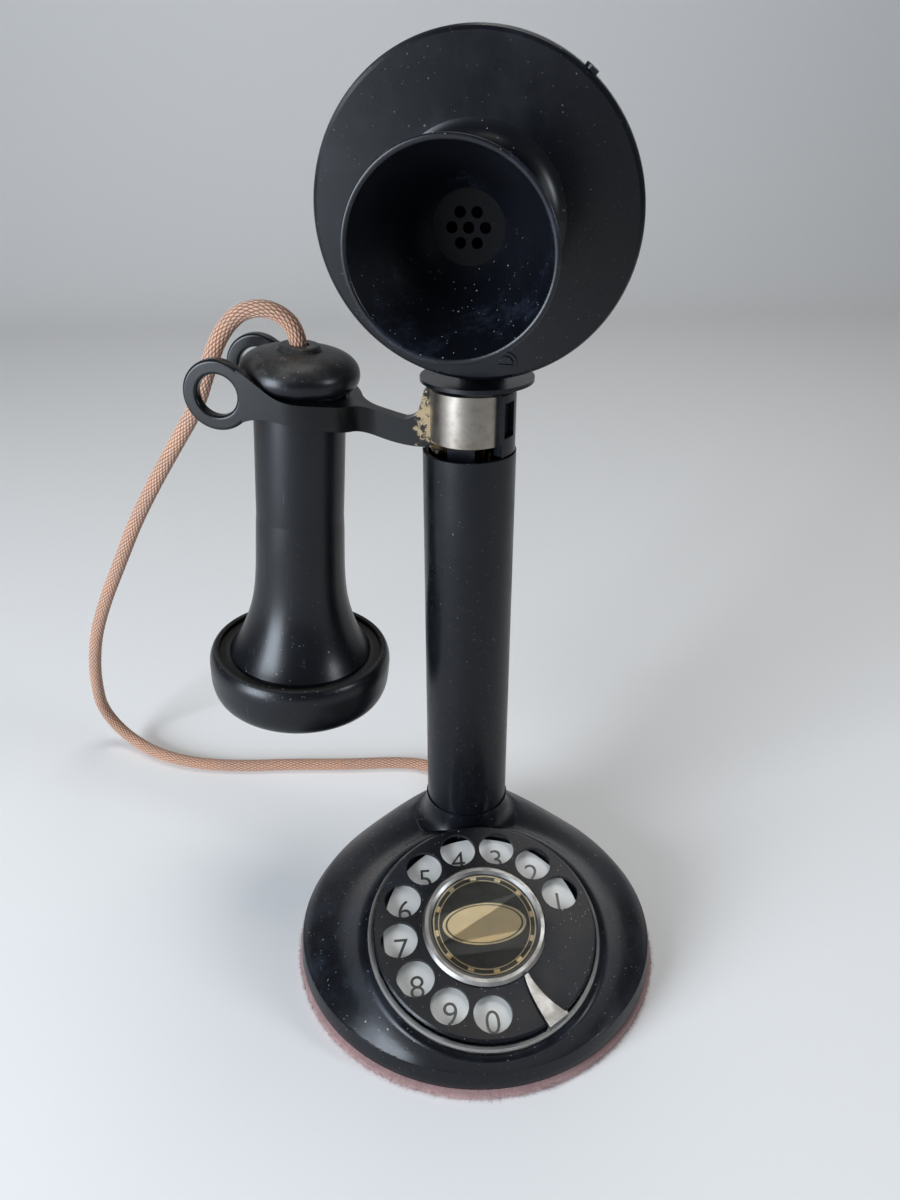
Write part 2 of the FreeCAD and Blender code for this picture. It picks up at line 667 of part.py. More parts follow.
export("neck_screws", *[place(s, upper_place) for s in neck_screws])
export("hook_pin", place(hook_pin, upper_place))

sleeve = sector(neck_radius, neck_inner, neck_bottom, neck_top, -180, -38.05).cut(hook_slot)
sleeve = sleeve.cut(block(-5.55, 3.05, -leg_outer - 0.05, -leg_inner, 0, 300))
export("neck_sleeve", place(sleeve, upper_place))

leaf_positions = (0.8, 2.6, 4.4, 6.2)
leaf_bottom, leaf_top = frame_foot + 4.0, neck_bottom - 0.5
leaves, spacers = [], []
for i, x in enumerate(leaf_positions):
    leaves.append(block(x, x + 0.4, -2.2, 2.2, leaf_bottom, leaf_top - 1.5 * i))
    spacers.append(block(x + 0.4, leaf_positions[i + 1] if i < 3 else 9.2, -3.2, 3.2,
                         frame_foot + 7.0, frame_foot + 17.0))
spring_screws = [fuse(rod_between(0.9, V(0.8, 0, h), V(10.8, 0, h)),
                      rod_between(1.8, V(-0.2, 0, h), V(0.8, 0, h))) for h in spring_screw_heights]
for fastener in spring_screws:
    leaves = [leaf.cut(fastener) for leaf in leaves]
    spacers = [spacer.cut(fastener) for spacer in spacers]
export("hook_springs", *[place(s, upper_place) for s in leaves])
export("spring_insulators", *[place(s, upper_place) for s in spacers])
export("spring_screws", *[place(s, upper_place) for s in spring_screws])

flange = lathe(
    [(0, neck_top), (neck_radius - 0.2, neck_top)],
    [(neck_radius - 0.2, neck_top), (neck_radius + 1.2, neck_top + 1.2), (flange_radius, flange_bottom)],
    [(flange_radius, flange_bottom), (flange_radius, flange_top)],
    [(flange_radius, flange_top), (0, flange_top)],
    [(0, flange_top), (0, neck_top)]).translated(V(transmitter_side * 0.7, 0, 0))
ear_gap, ear_width, ear_radius = 3.1, 2.4, 2.8
ears = []
for side in (-1, 1):
    x0 = transmitter_side + (ear_gap if side > 0 else -ear_gap - ear_width)
    ear = block(x0, x0 + ear_width, tilt_pivot_y - ear_radius, tilt_pivot_y + ear_radius,
                flange_bottom, tilt_pivot_z)
    ears.append(ear)
    ears.append(Part.makeCylinder(ear_radius, ear_width, V(x0, tilt_pivot_y, tilt_pivot_z), X))
neck_flange = fuse(flange, *ears)
tilt_axis_start = V(transmitter_side - ear_gap - ear_width - 1.6, tilt_pivot_y, tilt_pivot_z)
tilt_axis_end = V(transmitter_side + ear_gap + ear_width, tilt_pivot_y, tilt_pivot_z)
neck_flange = neck_flange.cut(rod_between(tilt_screw_radius, tilt_axis_start, tilt_axis_end + V(5, 0, 0)))
export("neck_flange", place(neck_flange, upper_place))
tilt_screw = fuse(rod_between(tilt_screw_radius, tilt_axis_start, tilt_axis_end),
                  rod_between(2.4, tilt_axis_end, tilt_axis_end + V(1.5, 0, 0)),
                  rod_between(2.2, tilt_axis_start, tilt_axis_start + V(1.6, 0, 0)))
export("tilt_screw", place(tilt_screw, upper_place))

# ---------------------------------------------------------------- hook
def knob_form(gap):
    """The receiver's knob without its holes, or with a gap the room that it takes."""
    rim, low, lip = knob_radius + gap, -knob_depth - gap, knob_collar_radius + gap
    return lathe(
        [(receiver_radius, low), (rim - 2.55, low + 0.5), (rim - 0.75, low + 1.8), (rim, low + 4.1),
         (rim - 0.55, 2.6), (rim - 3.35, 5.4), (rim - 7.45, 6.9), (lip + 0.8, 7.4)],
        [(lip + 0.8, 7.4), (lip, collar_top - 0.4)],
        [(lip, collar_top - 0.4), (lip - 0.5, collar_top)],
        [(lip - 0.5, collar_top), (0, collar_top)],
        [(0, collar_top), (0, low)],
        [(0, low), (receiver_radius, low)])


half = hook_thickness / 2
fork_inner = receiver_radius + fork_gap
fork_outer = fork_inner + fork_thickness
fork_bottom = fork_top - fork_height
# The rings stand back from the widest part of the knob where it passes the prongs.
knob_room_radius = knob_radius + knob_seat_gap
knob_half_chord = math.sqrt(knob_room_radius ** 2 - fork_inner ** 2)
ring_distance = fork_centre + knob_half_chord + ring_hole_radius + ring_knob_gap
arm_start = casting_radius - 0.1

# Side view: the prongs rise from the fork to the rings, the arm falls to the bracket in the neck.
ring_top = (6.9 - ring_distance, ring_height + 8.1)
ring_bottom = (7.3 - ring_distance, ring_height - 8.0)
fork_back = (-fork_centre - 1.8, fork_top + 0.5)
upper_middle = ((ring_top[0] + fork_back[0]) / 2, (ring_top[1] + fork_back[1]) / 2)
lower_middle = ((ring_bottom[0] - fork_centre) / 2, (ring_bottom[1] + fork_bottom) / 2 + 1.1)
arm_top = (-arm_start - 6.3, hook_foot + 8.7)
upper_edge = [ring_top, upper_middle, fork_back, (-fork_centre + 10.5, fork_top - 2.1),
              (-fork_centre + 21.3, fork_top - 5.4), arm_top]
bracket_edge = [arm_top, (-arm_start - 2.3, hook_foot + 10.7), (-arm_start - 0.8, hook_foot + 14.1),
                (-arm_start + 0.3, hook_head)]
hub_corners = [bracket_edge[-1], (-10.6, hook_head), (-10.6, hook_head - 2.1), (1.0, 202.0), (2.2, 199.0),
               (2.2, 194.0), (-0.4, 190.0), (-0.6, 166.0), (-3.2, 166.0), (-5.2, 190.0), (-9.0, 190.5),
               (-9.0, hook_foot), (-arm_start - 1.1, hook_foot)]
lower_edge = [hub_corners[-1], (-arm_start - 8.7, hook_foot + 0.9), (-fork_centre + 19.2, fork_bottom - 5.6),
              (-fork_centre + 10.1, fork_bottom - 2.2), (-fork_centre, fork_bottom), lower_middle, ring_bottom]
side_face = profile(upper_edge, bracket_edge, *zip(hub_corners, hub_corners[1:]), lower_edge,
                    [ring_bottom, ring_top])
side_view = side_face.translated(V(0, -fork_outer - 1, 0)).extrude(V(0, 2 * fork_outer + 2, 0))

# Plan: a ring round the receiver with two prongs, and the arm filleted into it.
plan_bottom, plan_top = stem_bottom, ring_height + ring_radius
plan = fuse(rod(fork_outer, plan_bottom, plan_top, -fork_centre),
            block(-fork_centre, 5, -half, half, plan_bottom, plan_top))
crotch = [edge for edge in plan.Edges if edge.Vertexes[0].X < -fork_centre + fork_outer
          and len(edge.Vertexes) == 2 and abs(edge.Vertexes[0].Z - edge.Vertexes[1].Z) > fork_height
          and abs(abs(edge.Vertexes[0].Y) - half) < 0.01]
plan = plan.makeFillet(fork_fillet, crotch)
plan = fuse(plan, block(-ring_distance, -fork_centre, -fork_outer, fork_outer, plan_bottom, plan_top))
plan = plan.cut(rod(fork_inner, 0, through * 2, -fork_centre))
plan = plan.cut(block(-through, -fork_centre, -fork_inner, fork_inner, 0, through * 2))

rings = []
for side in (-1, 1):
    ring = tube(ring_radius, ring_hole_radius, -fork_thickness / 2, fork_thickness / 2)
    ring = ring.makeFillet(ring_round, [edge for edge in ring.Edges if edge.isClosed()])
    ring.rotate(ORIGIN, X, 90)
    rings.append(ring.translated(V(-ring_distance, side * (fork_inner + fork_thickness / 2), ring_height)))
heel = sector(neck_radius - 0.2, 8.0, hook_foot, hook_foot + 1.1, 183, 226)
hook = fuse(plan.common(side_view), heel, *rings)
knob_way = fuse(knob_form(knob_seat_gap), rod(knob_room_radius, 0, through))
hook = hook.cut(place(knob_way, receiver_hang))
hook = hook.cut(rod_between(hook_pin_radius + running_clearance, pivot - Y * neck_radius, pivot + Y * neck_radius))
export("hook_lever", place(hook, upper_place))

# ---------------------------------------------------------------- transmitter
skirt_inner = faceplate_radius - faceplate_thickness
bell_throat = mouthpiece_base_radius - 10
faceplate = turned((bell_throat, -faceplate_thickness), (skirt_inner - 0.6, -faceplate_thickness),
                   (skirt_inner, -faceplate_thickness - 0.8), (skirt_inner, -faceplate_skirt),
                   (faceplate_radius, -faceplate_skirt), (faceplate_radius, -1.2),
                   (faceplate_radius - 0.4, -0.4), (faceplate_radius - 1.3, 0.0), (bell_throat, 0.0))
plate_screw_place = (9.1, -38.8)
rim_screw_place = (28.1, 34.2)
rim_angle = math.degrees(math.atan2(rim_screw_place[1], rim_screw_place[0]))
rim_axis = V(*polar(1, rim_angle), 0)
rim_start = rim_axis * (skirt_inner - 1.7) + V(0, 0, -3.0)
rim_shank = rod_between(1.0, rim_start, rim_start + rim_axis * 3.3)
faceplate = faceplate.cut(rod(1.4, -20, 5, *plate_screw_place)).cut(rim_shank)
mouthpiece = lathe(
    [(mouthpiece_base_radius, 0.0), (mouthpiece_base_radius - 2.2, 1.1), (19.6, 5.0), (18.0, 11.0),
     (19.0, 20.0), (22.2, 30.0), (mouthpiece_radius - 0.3, mouthpiece_length - 0.9)],
    [(mouthpiece_radius - 0.3, mouthpiece_length - 0.9), (mouthpiece_radius - 0.2, mouthpiece_length - 0.2),
     (mouthpiece_radius - 1.0, mouthpiece_length), (mouthpiece_radius - 1.7, mouthpiece_length - 0.6)],
    [(mouthpiece_radius - 1.7, mouthpiece_length - 0.6), (20.6, 30.0), (16.4, 20.0), (12.4, 12.5),
     (grille_radius, grille_forward + 1.5)],
    [(grille_radius, grille_forward + 1.5), (grille_radius, -2.5)],
    [(grille_radius, -2.5), (bell_throat, -2.5)],
    [(bell_throat, -2.5), (bell_throat, 0.0)],
    [(bell_throat, 0.0), (mouthpiece_base_radius, 0.0)])
grille = rod(grille_radius, grille_forward, grille_forward + 1.5).cut(rod(grille_hole_radius, 0, 20))
for a in range(0, 360, 60):
    grille = grille.cut(rod(grille_hole_radius, 0, 20, *polar(grille_hole_circle, a)))
cup_outside = lathe(
    [(0, -faceplate_thickness), (cup_radius, -faceplate_thickness)],
    [(cup_radius, -faceplate_thickness), (cup_radius, -cup_straight)],
    [(cup_radius, -cup_straight), (cup_radius - 1.6, -cup_straight - 7.0), (cup_radius - 6.5, -cup_depth + 3.0),
     (cup_radius - 13.0, -cup_depth)],
    [(cup_radius - 13.0, -cup_depth), (0, -cup_depth)],
    [(0, -cup_depth), (0, -faceplate_thickness)])
inside = cup_radius - cup_wall
cup_inside = lathe(
    [(0, 5.0), (inside, 5.0)],
    [(inside, 5.0), (inside, -cup_straight)],
    [(inside, -cup_straight), (inside - 1.6, -cup_straight - 6.4), (inside - 6.2, -cup_depth + cup_wall + 2.8),
     (inside - 12.5, -cup_depth + cup_wall)],
    [(inside - 12.5, -cup_depth + cup_wall), (0, -cup_depth + cup_wall)],
    [(0, -cup_depth + cup_wall), (0, 5.0)])
transmitter_cup = cup_outside.cut(cup_inside)
transmitter_cup = transmitter_cup.cut(rod(1.4, -20, 5, *plate_screw_place))
export("faceplate", place(faceplate, face_place))
export("mouthpiece", place(mouthpiece, face_place))
export("mouthpiece_grille", place(grille, face_place))

plate_screw = fuse(screw(2.1, 1.1, 1.4, 8.0), tube(3.2, 2.1, 0, 0.45)).translated(V(*plate_screw_place, 0))
rim_head = rod_between(1.9, rim_start + rim_axis * 3.3, rim_start + rim_axis * 4.3)
faceplate_screws = [plate_screw, fuse(rim_shank, rim_head)]
export("faceplate_screws", *[place(s, face_place) for s in faceplate_screws])

export("transmitter_diaphragm", place(rod(diaphragm_radius, -5.2, -4.8), face_place))
gasket = tube(diaphragm_radius, diaphragm_radius - gasket_width, -6.6, -5.2)
export("diaphragm_gasket", place(gasket, face_place))
carbon_button = fuse(rod(3.0, -8.0, -5.2), rod(11.0, -16.0, -8.0), rod(2.5, -bridge_back, -16.0))
export("carbon_button", place(carbon_button, face_place))
bridge_face = -bridge_back - bridge_thickness
post_places = (-diaphragm_radius + bridge_post_inset, diaphragm_radius - bridge_post_inset)
bridge = block(-diaphragm_radius, diaphragm_radius, -6.5, 6.5, bridge_face, -bridge_back)
bridge = fuse(bridge, *[rod(2.4, -bridge_back, -6.6, x, 0) for x in post_places])
bridge = bridge.cut(rod(3.0, -through, -bridge_back - 1.0))
for x in post_places:
    bridge = bridge.cut(rod(1.2, -through, 0, x, 0))
export("transmitter_bridge", place(bridge, face_place))
bridge_screws = [screw(2.2, 1.2, 1.2, 9.0) for _ in range(2)]
for fastener, x in zip(bridge_screws, post_places):
    fastener.rotate(ORIGIN, X, 180)
    fastener.translate(V(x, 0, bridge_face))
export("bridge_screws", *[place(s, face_place) for s in bridge_screws])

tongue_half = ear_gap - 0.1
tongue_radius = 2.6
tongue_start = V(transmitter_side - tongue_half, tilt_pivot_y, tilt_pivot_z)
tongue = fuse(
    Part.makeCylinder(tongue_radius, 2 * tongue_half, tongue_start, X),
    block(transmitter_side - tongue_half, transmitter_side + tongue_half, tilt_pivot_y - tongue_radius,
          tilt_pivot_y + tongue_radius, tilt_pivot_z, tilt_pivot_z + 9.0))
tongue = tongue.cut(rod_between(tilt_screw_radius + running_clearance, tilt_axis_start - V(5, 0, 0),
                                tilt_axis_end + V(5, 0, 0)))
lug = place(tongue, upper_place).cut(place(cup_outside, face_place))
export("transmitter_lug", lug)
export("transmitter_cup", place(transmitter_cup, face_place))

# ---------------------------------------------------------------- receiver
cord_radius = cord_diameter / 2
knob = knob_form(0).cut(rod(cord_radius + cord_bore_gap, 4.3, 20)).cut(rod(1.6, -10, 5))
knob = knob.cut(rod(8.0, -10, -1.0))
export("receiver_knob", place(knob, receiver_place))

flare_start = 48.0
shell = lathe(
    [(receiver_radius, -knob_depth), (receiver_radius, -flare_start)],
    [(receiver_radius, -flare_start), (receiver_radius + 0.6, -66.0), (receiver_radius + 2.3, -82.0),
     (receiver_radius + 4.8, -90.5), (receiver_radius + 7.7, -97.0), (flare_radius, -flare_end)],
    [(flare_radius, -flare_end), (flare_radius, -flare_end - 0.8)],
    [(flare_radius, -flare_end - 0.8), (flange_outer, -flare_end - 1.1)],
    [(flange_outer, -flare_end - 1.1), (flange_outer, -shell_end)],
    [(flange_outer, -shell_end), (24.0, -shell_end)],
    [(24.0, -shell_end), (22.6, -flare_end), (19.5, -95.5), (15.6, -86.0), (receiver_bore + 0.6, -76.0),
     (receiver_bore, -64.0)],
    [(receiver_bore, -64.0), (receiver_bore, -7.0)],
    [(receiver_bore, -7.0), (8.0, -7.0)],
    [(8.0, -7.0), (8.0, -knob_depth)],
    [(8.0, -knob_depth), (receiver_radius, -knob_depth)])
export("receiver_shell", place(shell, receiver_place))

cap_inner = flange_outer + cap_thread_gap
diaphragm_thickness = 0.4
cap_seat = shell_end + diaphragm_thickness
cap = lathe(
    [(cap_inner, -flare_end + 0.6), (cap_inner + 1.2, -flare_end + 0.9), (cap_radius - 0.7, -flare_end - 0.6),
     (cap_radius, -108.0), (cap_radius - 0.4, -113.5), (30.3, -118.3), (25.5, -121.3), (19.0, -cap_end),
     (earpiece_radius + 1.5, -cap_end + 1.4)],
    [(earpiece_radius + 1.5, -cap_end + 1.4), (earpiece_radius, -cap_end + 2.2)],
    [(earpiece_radius, -cap_end + 2.2), (earpiece_radius, -cap_end + 6.0)],
    [(earpiece_radius, -cap_end + 6.0), (24.0, -cap_seat - 3.0)],
    [(24.0, -cap_seat - 3.0), (24.0, -cap_seat)],
    [(24.0, -cap_seat), (cap_inner, -cap_seat)],
    [(cap_inner, -cap_seat), (cap_inner, -flare_end + 0.6)])
export("receiver_cap", place(cap, receiver_place))
export("receiver_diaphragm", place(rod(flange_outer - 0.1, -cap_seat, -shell_end), receiver_place))

def upright(half_width, half_depth, x, bottom, top):
    return block(x - half_width, x + half_width, -half_depth, half_depth, bottom, top)


magnet_end = shell_end - magnet_end_gap
leg_end = magnet_start + magnet_bridge
leg_half = (magnet_width - magnet_half_gap) / 2
leg_centre = magnet_half_gap + leg_half
legs = [upright(leg_half, magnet_half_depth, x, -magnet_end, -leg_end) for x in (leg_centre, -leg_centre)]
magnet = fuse(*legs, upright(magnet_width, magnet_half_depth, 0, -leg_end, -magnet_start))
coil_end = magnet_end - coil_end_gap
coils = []
for x in (-leg_centre, leg_centre):
    coil = upright(leg_half + coil_wrap, magnet_half_depth + coil_side_wrap, x, -coil_end, coil_length - coil_end)
    coils.append(coil.cut(upright(leg_half, magnet_half_depth, x, -through, 0)))
export("receiver_magnet", place(magnet, receiver_place))
export("receiver_coils", *[place(s, receiver_place) for s in coils])
terminals = tube(receiver_bore - 0.2, 3.0, -14.9, -11.5)
export("receiver_terminals", place(terminals, receiver_place))


# ---------------------------------------------------------------- receiver cord
def cord_run_edges(nodes):
    """Straight runs joined by tangent arcs, each arc as large as its two runs allow."""
    edges, radii = [], []
    start = nodes[0]
    for before, corner, after in zip(nodes, nodes[1:], nodes[2:]):
        back, ahead = before - corner, after - corner
        tangent = 0.45 * min(back.Length, ahead.Length)
        back.normalize()
        ahead.normalize()
        turn = math.pi - back.getAngle(ahead)
        radii.append(tangent / math.tan(turn / 2))
        inward = (back + ahead).normalize()
        middle = corner + inward * (radii[-1] / math.cos(turn / 2) - radii[-1])
        first, last = corner + back * tangent, corner + ahead * tangent
        edges.append((start, first))
        edges.append((first, middle, last))
        start = last
    edges.append((start, nodes[-1]))
    print("cord radii", [round(radius, 1) for radius in radii])
    return edges


def cord_solid(name, spans):
    """Round tube swept along straight and arc spans."""
    edges = [(Part.LineSegment if len(span) == 2 else Part.Arc)(*span).toShape() for span in spans]
    path = Part.Wire(edges)
    section = Part.Wire(Part.makeCircle(cord_radius, spans[0][0], spans[0][1] - spans[0][0]))
    solid = path.makePipeShell([section], True, False)
    print(name, "length", round(path.Length, 1), "volume over section times length",
          round(solid.Volume / (math.pi * cord_radius ** 2 * path.Length), 4))
    return solid


cord_first = receiver_place.multVec(V(0, 0, cord_start))
cord_last = V(0, cord_boss_end + grommet_flange, grommet_height)
corners = [V(*point) for point in cord_upper_route + cord_lower_route]
spans = cord_run_edges([cord_first] + corners + [cord_last])
cord_split_run = len(cord_upper_route)
split_from, split_to = spans[2 * cord_split_run]
cord_middle = (split_from + split_to) * 0.5
export("cord_upper", cord_solid("cord_upper", spans[:2 * cord_split_run] + [(split_from, cord_middle)]))
export("cord_lower", cord_solid("cord_lower", [(cord_middle, split_to)] + spans[2 * cord_split_run + 1:]).cut(
    block(-20, 20, 0, cord_last.y, 0, 40)))
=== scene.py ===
"""Looks of an upright desk telephone: enamel, hard rubber, worn nickel, the dial's numerals and card,
the felt under the base and the braided receiver cord.  Lengths are metres, +Z is up."""
import json
import math

import bpy
import numpy as np
from mathutils import Matrix, Vector


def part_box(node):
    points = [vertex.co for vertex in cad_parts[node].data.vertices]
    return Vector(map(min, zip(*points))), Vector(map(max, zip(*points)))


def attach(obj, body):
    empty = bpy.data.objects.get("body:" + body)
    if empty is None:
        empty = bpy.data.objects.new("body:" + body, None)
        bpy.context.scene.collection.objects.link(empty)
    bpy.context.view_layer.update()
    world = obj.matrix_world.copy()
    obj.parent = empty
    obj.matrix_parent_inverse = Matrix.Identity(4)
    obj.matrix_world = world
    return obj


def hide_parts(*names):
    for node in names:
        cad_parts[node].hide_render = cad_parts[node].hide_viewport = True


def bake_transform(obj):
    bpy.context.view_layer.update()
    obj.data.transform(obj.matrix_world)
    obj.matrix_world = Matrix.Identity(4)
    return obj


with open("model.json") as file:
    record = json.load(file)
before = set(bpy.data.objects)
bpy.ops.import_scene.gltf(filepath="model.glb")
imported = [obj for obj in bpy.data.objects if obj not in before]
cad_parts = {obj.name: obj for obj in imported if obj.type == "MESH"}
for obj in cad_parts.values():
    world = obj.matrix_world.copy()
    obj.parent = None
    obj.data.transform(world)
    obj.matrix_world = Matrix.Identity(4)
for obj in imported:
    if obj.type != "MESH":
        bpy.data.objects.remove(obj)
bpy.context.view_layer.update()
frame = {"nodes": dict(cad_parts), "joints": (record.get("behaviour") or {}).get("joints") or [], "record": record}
nodes = frame["nodes"]
joints = {joint["name"]: joint for joint in frame["joints"]}
MM = 0.001


# ---------------------------------------------------------------- places on the object
def middle(node):
    """Middle of a node's box; for a disc or drum it lies on the axis."""
    low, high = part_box(node)
    return (low + high) / 2


def axes(origin, out, right):
    """Placement with +Z along `out` and +X as near to `right` as it can be."""
    z = Vector(out).normalized()
    x = (Vector(right) - z * Vector(right).dot(z)).normalized()
    y = z.cross(x)
    turned = Matrix((x, y, z)).transposed().to_4x4()
    turned.translation = Vector(origin)
    return turned


dial = axes(joints["dial_turn"]["pos_m"], joints["dial_turn"]["axis"], (1, 0, 0))
stand_right = Vector(joints["transmitter_tilt"]["axis"])
receiver_up = Vector(joints["receiver_lift"]["axis"])
receiver = axes(middle("receiver_diaphragm"), receiver_up, stand_right)
felt_low, felt_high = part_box("base_felt")
felt_radius = (felt_high.x - felt_low.x) / 2
felt_height = felt_high.z - felt_low.z


# ---------------------------------------------------------------- meshes
def add_object(name, data):
    """New object in the scene, with its mesh, lamp or camera."""
    made = bpy.data.objects.new(name, data)
    bpy.context.scene.collection.objects.link(made)
    return made


def mesh_piece(name, points, faces):
    """Smooth piece from rows of points and, for each face, its points' numbers."""
    mesh = bpy.data.meshes.new(name)
    mesh.from_pydata(np.asarray(points).tolist(), [], [list(face) for face in faces])
    mesh.polygons.foreach_set("use_smooth", np.full(len(mesh.polygons), True))
    return add_object(name, mesh)


def paint_piece(piece, material):
    """Give a new piece its one material."""
    piece.data.materials.clear()
    piece.data.materials.append(material)


def grid_faces(rows, columns, close_columns=True):
    """Quads of a grid of points stored row by row; the columns may close into a ring."""
    last = columns if close_columns else columns - 1
    i, j = np.meshgrid(np.arange(rows - 1), np.arange(last), indexing="ij")
    k = (j + 1) % columns
    corners = (i * columns + j, i * columns + k, (i + 1) * columns + k, (i + 1) * columns + j)
    return np.stack(corners, -1).reshape(-1, 4)


def soft_noise(values, frequencies, seed):
    """Repeatable unevenness round a closed ring: a sum of sines with seeded phases, each as high as one
    over the root of its frequency."""
    phases = np.random.default_rng(seed).uniform(0, 2 * np.pi, len(frequencies))
    return sum(np.sin(f * values + p) / math.sqrt(f) for f, p in zip(frequencies, phases))


# ---------------------------------------------------------------- shader maths
def plug(tree, slot, value):
    """Link a socket to a wire, or set it to a plain value."""
    if isinstance(value, Wire):
        tree.links.new(value.socket, slot)
    else:
        slot.default_value = value


def add_node(tree, kind, settings=(), values=(), output=0):
    """New node: its settings first, then the values or links of its sockets.  Gives one output."""
    made = tree.nodes.new(kind)
    for name, value in dict(settings).items():
        setattr(made, name, value)
    for name, value in dict(values).items():
        plug(tree, made.inputs[name], value)
    return Wire(tree, made.outputs[output])


class Wire:
    """A node socket on which ordinary arithmetic adds Math nodes."""

    def __init__(self, tree, socket):
        self.tree = tree
        self.socket = socket

    def maths(self, operation, *others):
        return add_node(self.tree, "ShaderNodeMath", {"operation": operation}, enumerate((self, *others)))

    def __add__(self, other):
        return self.maths("ADD", other)

    def __sub__(self, other):
        return self.maths("SUBTRACT", other)

    def __mul__(self, other):
        return self.maths("MULTIPLY", other)

    def __truediv__(self, other):
        return self.maths("DIVIDE", other)

    def __pow__(self, other):
        return self.maths("POWER", other)

    def __rsub__(self, other):
        return (self * -1.0) + other

    __radd__ = __add__
    __rmul__ = __mul__

    def over(self, other):
        return self.maths("GREATER_THAN", other)

    def under(self, other):
        return self.maths("LESS_THAN", other)

    def least(self, other):
        return self.maths("MINIMUM", other)

    def most(self, other):
        return self.maths("MAXIMUM", other)

    def size(self):
        return self.maths("ABSOLUTE")

    def wave(self):
        return self.maths("SINE")

    def smooth(self, low, high):
        """0 below low, 1 above high, with an eased step between.  Where high is the smaller, the
        step goes the other way."""
        start, end = (0.0, 1.0) if low < high else (1.0, 0.0)
        values = {"Value": self, "From Min": min(low, high), "From Max": max(low, high),
                  "To Min": start, "To Max": end}
        return add_node(self.tree, "ShaderNodeMapRange", {"interpolation_type": "SMOOTHSTEP"}, values)


class Finish:
    """One material: its principled shader and the nodes that feed it."""

    def __init__(self, name, **settings):
        self.material = bpy.data.materials.new(name)
        self.material.use_nodes = True
        self.tree = self.material.node_tree
        self.shader = self.tree.nodes["Principled BSDF"]
        self.position = self.coordinates("Object")
        self.feed(**settings)

    def node(self, kind, settings=(), values=(), output=0):
        return add_node(self.tree, kind, settings, values, output)

    def coordinates(self, kind):
        """Where a point of the surface lies (Object), its normal (Normal) or its place on the map (UV)."""
        return self.node("ShaderNodeTexCoord", output=kind)

    def noise(self, scale, detail=3.0, roughness=0.5, where=None):
        """Cloudy noise about 0.5, with `scale` waves to the metre."""
        values = {"Vector": where or self.position, "Scale": scale, "Detail": detail, "Roughness": roughness}
        return self.node("ShaderNodeTexNoise", {}, values)

    def cells(self, size, output):
        """Irregular cells of about that size: distance to the nearest cell's point, or its colour."""
        return self.node("ShaderNodeTexVoronoi", {}, {"Vector": self.position, "Scale": 1 / size}, output)

    def specks(self, cell, radius, share):
        """Mask of small round specks: at most one in each cell, in that share of the cells.  Each is
        full to half its radius and fades from there."""
        kept = self.parts(self.cells(cell, "Color"))[0].under(share)
        return self.cells(cell, "Distance").smooth(radius / cell, radius / cell * 0.5) * kept

    def local(self, placement, scale=(1.0, 1.0, 1.0)):
        """Object position in the local frame of a placement, each axis scaled."""
        back = placement.inverted()
        values = {"Vector": self.position, "Location": back.translation, "Rotation": back.to_euler()}
        turned = self.node("ShaderNodeMapping", {"vector_type": "POINT"}, values)
        return self.node("ShaderNodeVectorMath", {"operation": "MULTIPLY"}, {0: turned, 1: scale})

    def parts(self, vector):
        """The three numbers of a vector or a colour."""
        split = self.node("ShaderNodeSeparateXYZ", {}, {0: vector}).socket.node
        return [Wire(self.tree, output) for output in split.outputs]

    def blend(self, mask, first, second):
        """Colour mix: first where the mask is 0, second where it is 1."""
        factor, colour_a, colour_b, result = 0, 6, 7, 2
        values = {factor: mask, colour_a: first, colour_b: second}
        return self.node("ShaderNodeMix", {"data_type": "RGBA"}, values, result)

    def facing_up(self):
        """1 where the surface faces up, 0 where it is upright, -1 where it faces down."""
        return self.parts(self.coordinates("Normal"))[2]

    def bump(self, height, distance, strength):
        """Raise the surface in its shading by the height times the distance, in metres."""
        values = {"Height": height, "Distance": distance, "Strength": strength}
        self.feed(Normal=self.node("ShaderNodeBump", {}, values))

    def feed(self, **values):
        """Set or link the shader's sockets, named with _ for each space.  Gives the material."""
        for socket, value in values.items():
            plug(self.tree, self.shader.inputs[socket.replace("_", " ")], value)
        return self.material


def colour(red, green, blue):
    return (red, green, blue, 1.0)


# ---------------------------------------------------------------- finishes
# near black with a blue tint that is painted sheen
black_with_painted_blue = colour(0.0024, 0.0029, 0.0046)
dust_colour = colour(0.46, 0.45, 0.43)
dust_cover = 0.9
# for each kind of grain: its cell and its radius, and the share of the cells that hold one
dust_grains = ((0.0013, 0.00016, 0.40), (0.0027, 0.00025, 0.35), (0.0070, 0.00040, 0.40))
# the receiver's dust: radii from its axis, and heights above its diaphragm, between which it comes or goes
shoulder_begins = (0.0262, 0.0272)
shoulder_ends = (0.0318, 0.0300)
crown_begins = (0.102, 0.108)


def mist(finish, amount):
    """Thin cloudy film that lies on gloss, thicker in some places than in others."""
    cloud = finish.noise(18.0, 4.0, 0.6)
    fine = finish.noise(160.0, 3.0, 0.6)
    return (cloud.smooth(0.42, 0.75) * 0.7 + fine.smooth(0.45, 0.8) * 0.3) * amount


def settled_dust(finish):
    """Fine, middling and a few large grains of dust."""
    fine, middling, large = (finish.specks(*grains) for grains in dust_grains)
    return fine.most(middling).most(large)


